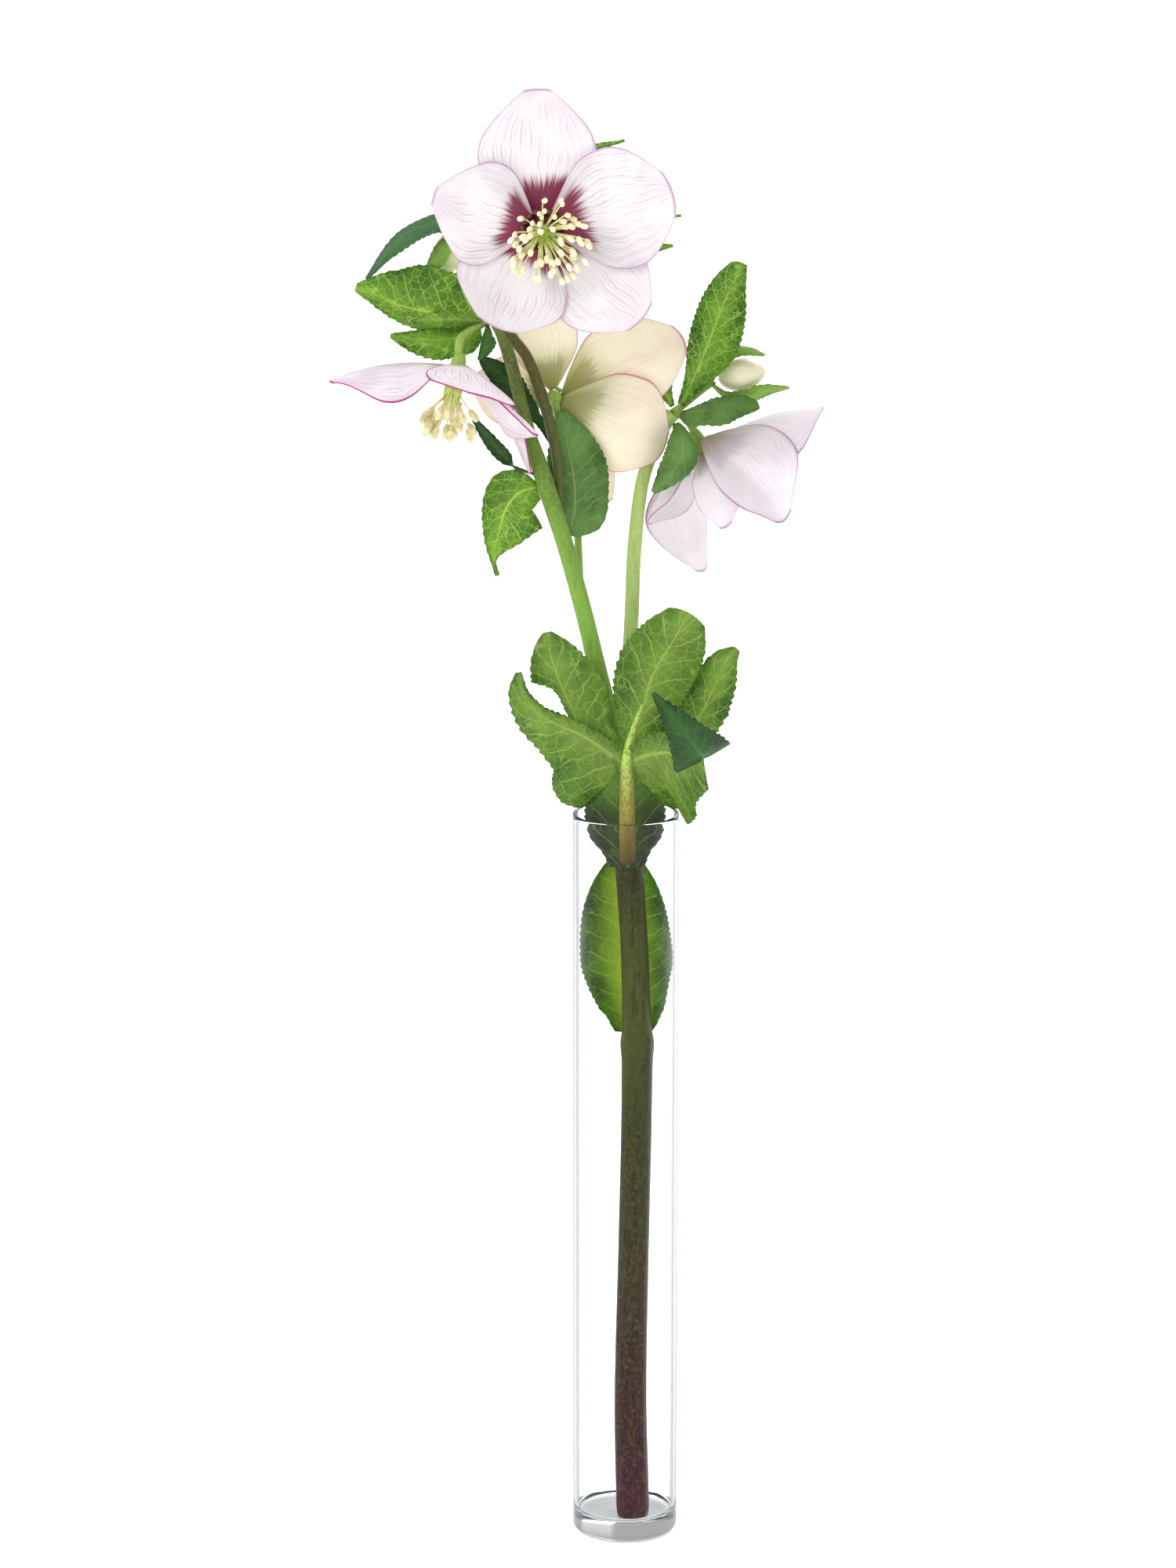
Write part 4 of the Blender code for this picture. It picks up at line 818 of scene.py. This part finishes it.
def bud_skin(name, pale, green, blush):
    """Bud skin: green at the stalk's end, pale at the tip, with soft patches."""
    material, tree, shader = new_material(name, pale, 0.4, Subsurface_Weight=0.2, Subsurface_Scale=0.003)
    along = node(tree, "SeparateXYZ", Vector=node(tree, "TexCoord").outputs["UV"]).outputs["X"]
    colour = blend_colour(step_up(along, 0.45, 0), pale, green)
    feed(shader, Base_Color=blend_colour(times(step_up(speckle(tree, 160), 0.5, 0.7), 0.45), colour, blush))
    return material


BUD_SKINS = {"left": bud_skin("left_bud_skin", srgb(240, 240, 200), srgb(168, 204, 96), srgb(216, 228, 150)),
             "right": bud_skin("right_bud_skin", srgb(236, 232, 200), srgb(196, 200, 150),
                               srgb(222, 200, 180))}
for name, bud in BUDS.items():
    place_piece(grow(name + "_bud_sepals", [(32, 40, bud_place(*bud), 0)], [BUD_SKINS[name]]),
                name + "_bud")
pale_bract = leaf_finish("pale_bract", srgb(150, 196, 84), srgb(122, 172, 62), srgb(196, 224, 130), 6, 480,
                         0.45)
add_leaves(BUD_BRACTS, dict.fromkeys(BUD_BRACTS, pale_bract))


# The flowers: five broad sepals lie over one another in a shallow bowl. Thin pink veins fan out
# from the claw, the base is blotched in the open flower, and the margins have a fine pink line.
SEPAL_OUTLINE = [(0, 0.1), (0.12, 0.4), (0.35, 0.86), (0.6, 1), (0.8, 0.93), (0.92, 0.72), (1, 0.4)]
SEPAL_THICKNESS = 0.4
SEPAL_GLOW = 0.42
SEPAL_VEINS = 13
LEFT_SEPAL_DROOP = 7.0


def sepal_blade(surface, index, layer, width_left, width_right, pointed, droop):
    """Point of a sepal on its flower's bowl; its near edge may hang lower, by droop."""
    angle, _, length = surface.aims[index]

    def place(u, v):
        share = v * smooth_value(SEPAL_OUTLINE, u) * (1 - 0.6 * pointed * u ** 3)
        across = share * (width_left if v > 0 else width_right)
        across *= 1 + 0.02 * noise.noise(Vector((u * 5, index * 3.1, length)))
        swept = u * (1 - SEPAL_SWEEP * u ** 3 * share ** 2)
        along = RECEPTACLE_RADIUS + CLAW_GAP + swept * (length - CLAW_GAP)
        distance = math.hypot(along, across) - RECEPTACLE_RADIUS
        turned = angle + math.atan2(across, along)
        point = surface.point(turned, distance, layer)
        near = surface.point(angle, along - RECEPTACLE_RADIUS, layer).y - point.y
        point -= UP * droop * (max(near, 0.0) / width_left) ** 2
        ripple = 0.45 * math.sin(5 * turned + 7 * distance / length) * (distance / length) ** 2
        return point + surface.facing * ripple

    return place


def vein_fan_group():
    """Veins that fan out from a sepal's claw and fork on the way, and a mask of its margin."""
    group, given, result = new_group("sepal_vein_fan", {"Skin": None, "Place": None},
                                     ("Veins", "Margin", "Streaks"))
    parts = node(group, "SeparateXYZ", Vector=given["Skin"]).outputs
    u, v = parts["X"], parts["Y"]
    waver = node(group, "TexNoise", Vector=given["Place"], Scale=110, Detail=2).outputs["Fac"]
    bent = reckon("MULTIPLY_ADD", waver, 0.16, v)
    fans = []
    for factor, width, low, high, strength in ((1, 0.03, 0, 0.15, 1), (2.03, 0.05, 0.2, 0.45, 0.8),
                                               (4.1, 0.1, 0.5, 0.8, 0.6)):
        near = from_middle(reckon("FRACT", times(bent, SEPAL_VEINS * factor)))
        fans.append(times(step_up(near, width, width * 0.3, 0, strength), step_up(u, low, high)))
    veins = reckon("MAXIMUM", reckon("MAXIMUM", fans[0], fans[1]), fans[2])
    broken = node(group, "TexNoise", Vector=given["Place"], Scale=150, Detail=2).outputs["Fac"]
    aside = times(from_middle(v), 2)
    combed = node(group, "CombineXYZ", X=times(u, 2), Y=times(v, 60)).outputs[0]
    feed(result, Veins=times(veins, step_up(broken, 0.36, 0.6, 0.25, 1)),
         Margin=reckon("MAXIMUM", step_up(aside, 0.955, 1), step_up(u, 0.975, 1)),
         Streaks=node(group, "TexNoise", Vector=combed, Scale=1, Detail=3).outputs["Fac"])
    return group


vein_fan = vein_fan_group()


def sepal_finish(name, body, claw, claw_reach, blotch, blotch_share, vein, vein_share, margin, margin_share):
    """Sepal skin: body colour, tinted claw, blotch with ragged streaks, veins and a fine margin."""
    material, tree, shader = new_material(name, body, 0.5, Sheen_Weight=0.1)
    where = node(tree, "TexCoord").outputs
    fan = node(tree, "Group", node_tree=vein_fan, Skin=where["UV"], Place=where["Object"]).outputs
    parts = node(tree, "SeparateXYZ", Vector=where["UV"]).outputs
    soft = times(step_up(speckle(tree, 45), 0.4, 0.66), 0.5)
    colour = blend_colour(soft, body, tuple(0.92 * c for c in body))
    colour = blend_colour(step_up(parts["X"], claw_reach, 0), colour, claw)
    colour = blend_colour(times(fan["Veins"], vein_share), colour, vein)
    ragged = reckon("MULTIPLY_ADD", fan["Streaks"], -0.32, parts["X"])
    patch = times(step_up(ragged, 0.17, 0.07, 0, blotch_share),
                  step_up(from_middle(parts["Y"]), 0.42, 0.3))
    colour = blend_colour(patch, colour, blotch)
    colour = blend_colour(times(fan["Margin"], margin_share), colour, margin)
    emboss(shader, colour, fan["Veins"], 0.25, 0.0003)
    mix_shaders(SEPAL_GLOW, shader, node(tree, "BsdfTranslucent", Color=colour))
    return material


SEPAL_FINISH = {
    "hero": sepal_finish("open_flower_sepal", srgb(244, 241, 243), srgb(228, 186, 204), 0.3,
                         srgb(146, 26, 76), 0.95, srgb(170, 100, 148), 0.75, srgb(196, 120, 180), 0.6),
    "left": sepal_finish("left_flower_sepal", srgb(250, 245, 249), srgb(190, 196, 150), 0.22,
                         srgb(150, 40, 100), 0, srgb(160, 66, 138), 0.95, srgb(186, 50, 144), 1),
    "centre": sepal_finish("centre_flower_sepal", srgb(250, 244, 226), srgb(184, 198, 104), 0.48,
                           srgb(156, 140, 84), 0.5, srgb(206, 140, 140), 0.5, srgb(222, 110, 160), 0.85),
    "right": sepal_finish("right_flower_sepal", srgb(248, 244, 247), srgb(206, 194, 170), 0.22,
                          srgb(170, 134, 150), 0.3, srgb(196, 140, 190), 0.5, srgb(186, 110, 180), 0.8),
}
for flower, (middle, facing, sepals) in FLOWERS.items():
    surface = FlowerSurface(middle, facing, sepals)
    for index, (name, layer, _, *shape) in enumerate(sepals):
        droop = LEFT_SEPAL_DROOP if flower == name == "left" else 0
        place = sepal_blade(surface, index, layer, *shape, droop)
        sepal = grow(f"{flower}_{name}_sepal", [(44, 36, place, 0)], [SEPAL_FINISH[flower]],
                     SEPAL_THICKNESS)
        place_piece(sepal, f"{flower}_sepal_{name}")


# The nectaries: short horns in a ring round each flower's heart, on a low disc.
HORN_HEIGHT = 2.4
maroon_horn = new_material("maroon_horn", srgb(92, 22, 40), 0.3)[0]
green_horn = new_material("green_horn", srgb(150, 164, 70), 0.35)[0]


def nectary_sheets(flower, count, reach):
    middle, facing, _ = FLOWERS[flower]
    right, up, axis = flower_axes(facing)
    base = Vector(middle) + axis * (receptacle_top(flower) + SEAT_GAP)
    sheets = [tube_sheet([(base, DISC_RADIUS), (base + axis * DISC_HEIGHT, DISC_RADIUS)], 6, 24)]
    for i in range(count):
        angle = math.tau * (i + 0.5) / count
        outward = right * math.cos(angle) + up * math.sin(angle)
        foot = base + outward * (DISC_RADIUS - 0.6) + axis * (0.5 * DISC_HEIGHT)
        bow = base + outward * lerp(DISC_RADIUS, reach, 0.6) + axis * (0.3 * HORN_HEIGHT)
        mouth = base + outward * reach + axis * HORN_HEIGHT
        sheets.append(tube_sheet([(foot, 0.35), (bow, 0.85), (mouth, 0.9)], 10, 10))
    return sheets


for flower in FLOWERS:
    count, reach, horn = (18, 6.2, maroon_horn) if flower == "hero" else (10, 3.8, green_horn)
    horns = grow(flower + "_nectary_horns", nectary_sheets(flower, count, reach), [horn])
    place_piece(horns, flower + "_nectaries")


# The stamens and carpels: many thin filaments, each with a pale anther, spread round the five
# green carpels with their curved styles. A seeded rule gives each its own reach and lean. The
# table has the range of reach and of height, the count, and the anthers' length and radius.
STAMENS = {"hero": ((6, 11.5), (6.5, 9), 64, 2.5, 0.72), "left": ((2.5, 7), (12, 17), 30, 4.4, 0.9),
           "centre": ((2.5, 6), (8, 12), 16, 3, 0.75), "right": ((2.5, 6), (8, 12), 16, 3.4, 0.8)}
ANTHER_OUTLINE = ((0.2, 0.86), (0.6, 1), (0.9, 0.7))
HERO_SAG = (1.2, 0, -1.6)
CARPELS = 5
CARPEL_OUTLINE = ((0, 1.1), (0.3, 1.35), (0.6, 0.8), (0.85, 0.4))


def tissue(name, colour, other):
    material, tree, shader = new_material(name, colour, 0.45, Subsurface_Weight=0.15, Subsurface_Scale=0.001)
    feed(shader, Base_Color=blend_colour(step_up(speckle(tree, 500), 0.35, 0.65), colour, other))
    return material


filament = tissue("filament", srgb(232, 232, 176), srgb(206, 214, 130))
anther = tissue("anther", srgb(250, 246, 220), srgb(236, 226, 178))
aged_anther = tissue("aged_anther", srgb(236, 228, 184), srgb(206, 194, 140))
carpel = tissue("carpel", srgb(190, 204, 96), srgb(150, 176, 66))


def stamen_sheets(flower):
    """Sheets of filaments (material 0), anthers (1) and carpels (2)."""
    rng = random.Random(7 + len(flower))
    middle, facing, _ = FLOWERS[flower]
    right, up, axis = flower_axes(facing)
    base = Vector(middle) + axis * (receptacle_top(flower) + SEAT_GAP + DISC_HEIGHT + SEAT_GAP)
    sheets = [tube_sheet([(base, 1.4), (base + axis * 1.5, 1.4)], 6, 20, 2)]
    (near, far), (low, high), count, anther_length, anther_radius = STAMENS[flower]
    sag = Vector(HERO_SAG if flower == "hero" else (0, 0, 0))
    for i in range(count):
        angle = math.tau * (i + 0.6 * rng.random()) / count * 2
        outward = right * math.cos(angle) + up * math.sin(angle)
        reach = lerp(near * 0.5, far, rng.random() ** 0.8)
        height = lerp(low * 0.85, high, rng.random()) - 1.4 * (anther_length - 2.5)
        droop = sag * rng.uniform(0.4, 1.3)
        foot = base + outward * 0.8 + axis
        bow = base + outward * (0.35 * reach + 0.7) + axis * (0.62 * height) + droop * 0.3
        neck = base + outward * reach + axis * height + droop
        lean = (neck - bow).normalized() + Vector((rng.uniform(-0.4, 0.4), rng.uniform(-0.4, 0.2), -0.5))
        lean.normalize()
        tip = neck + lean * anther_length
        thread = [(foot, 0.26), (bow, 0.23), (neck, 0.18), (neck + lean * 0.3, 0.15)]
        swell = [(neck.lerp(tip, t), share * anther_radius) for t, share in ANTHER_OUTLINE]
        head = [(neck - lean * 0.1, 0.12), *swell, (tip, 0.1)]
        sheets += [tube_sheet(thread, 12, 6), tube_sheet(head, 12, 10, 1, 2, 0.14)]
    for i in range(CARPELS):
        angle = math.tau * (i + 0.25) / CARPELS
        outward = right * math.cos(angle) + up * math.sin(angle)
        foot = base + outward * 0.9 + axis
        tip = base + outward * 2.6 + axis * 7 + sag * 0.3
        body = [(foot.lerp(tip, t), radius) for t, radius in CARPEL_OUTLINE]
        sheets.append(tube_sheet(body + [(tip + outward * 0.8, 0.34)], 18, 10, 2))
    return sheets


for flower in FLOWERS:
    pollen = anther if flower == "hero" else aged_anther
    tuft = grow(flower + "_stamen_tuft", stamen_sheets(flower), [filament, pollen, carpel])
    place_piece(tuft, flower + "_stamens")


# The setting: a plain white floor and sky, soft studio light from the upper left and from
# behind, and the camera at the photo's angle.
floor_white = new_material("floor_white", (0.92, 0.92, 0.92), 0.7, Emission_Color=(1, 1, 1, 1),
                           Emission_Strength=0.5)[0]
floor_mesh = bpy.data.meshes.new("floor")
bm = bmesh.new()
bmesh.ops.create_grid(bm, x_segments=1, y_segments=1, size=6.0)
bm.to_mesh(floor_mesh)
bm.free()
floor_mesh.materials.append(floor_white)
floor = bpy.data.objects.new("floor", floor_mesh)
bpy.context.scene.collection.objects.link(floor)
floor.location.z = -0.0002

world = bpy.data.worlds.new("studio")
world.use_nodes = True
feed(world.node_tree.nodes["Background"], Color=(1, 1, 1, 1), Strength=0.75)
bpy.context.scene.world = world


def soft_light(name, place, size, power):
    lamp = bpy.data.lights.new(name, "AREA")
    lamp.size = size
    lamp.energy = power
    obj = bpy.data.objects.new(name, lamp)
    obj.location = place
    obj.rotation_euler = (Vector((0, 0, 0.3)) - Vector(place)).to_track_quat("-Z", "Y").to_euler()
    bpy.context.scene.collection.objects.link(obj)


soft_light("key_light", (-0.7, -0.9, 1.1), 0.7, 8.0)
soft_light("back_light", (0.5, 0.9, 0.9), 0.8, 10.0)

camera_data = bpy.data.cameras.new("camera")
camera_data.lens = 118.47
camera_data.sensor_width = 36.0
camera = bpy.data.objects.new("camera", camera_data)
camera.location = (-0.01135, -1.5, 0.595)
camera.rotation_euler = (math.radians(76.53), 0, 0)
bpy.context.scene.collection.objects.link(camera)
bpy.context.scene.camera = camera
bpy.context.scene.view_settings.view_transform = "Standard"
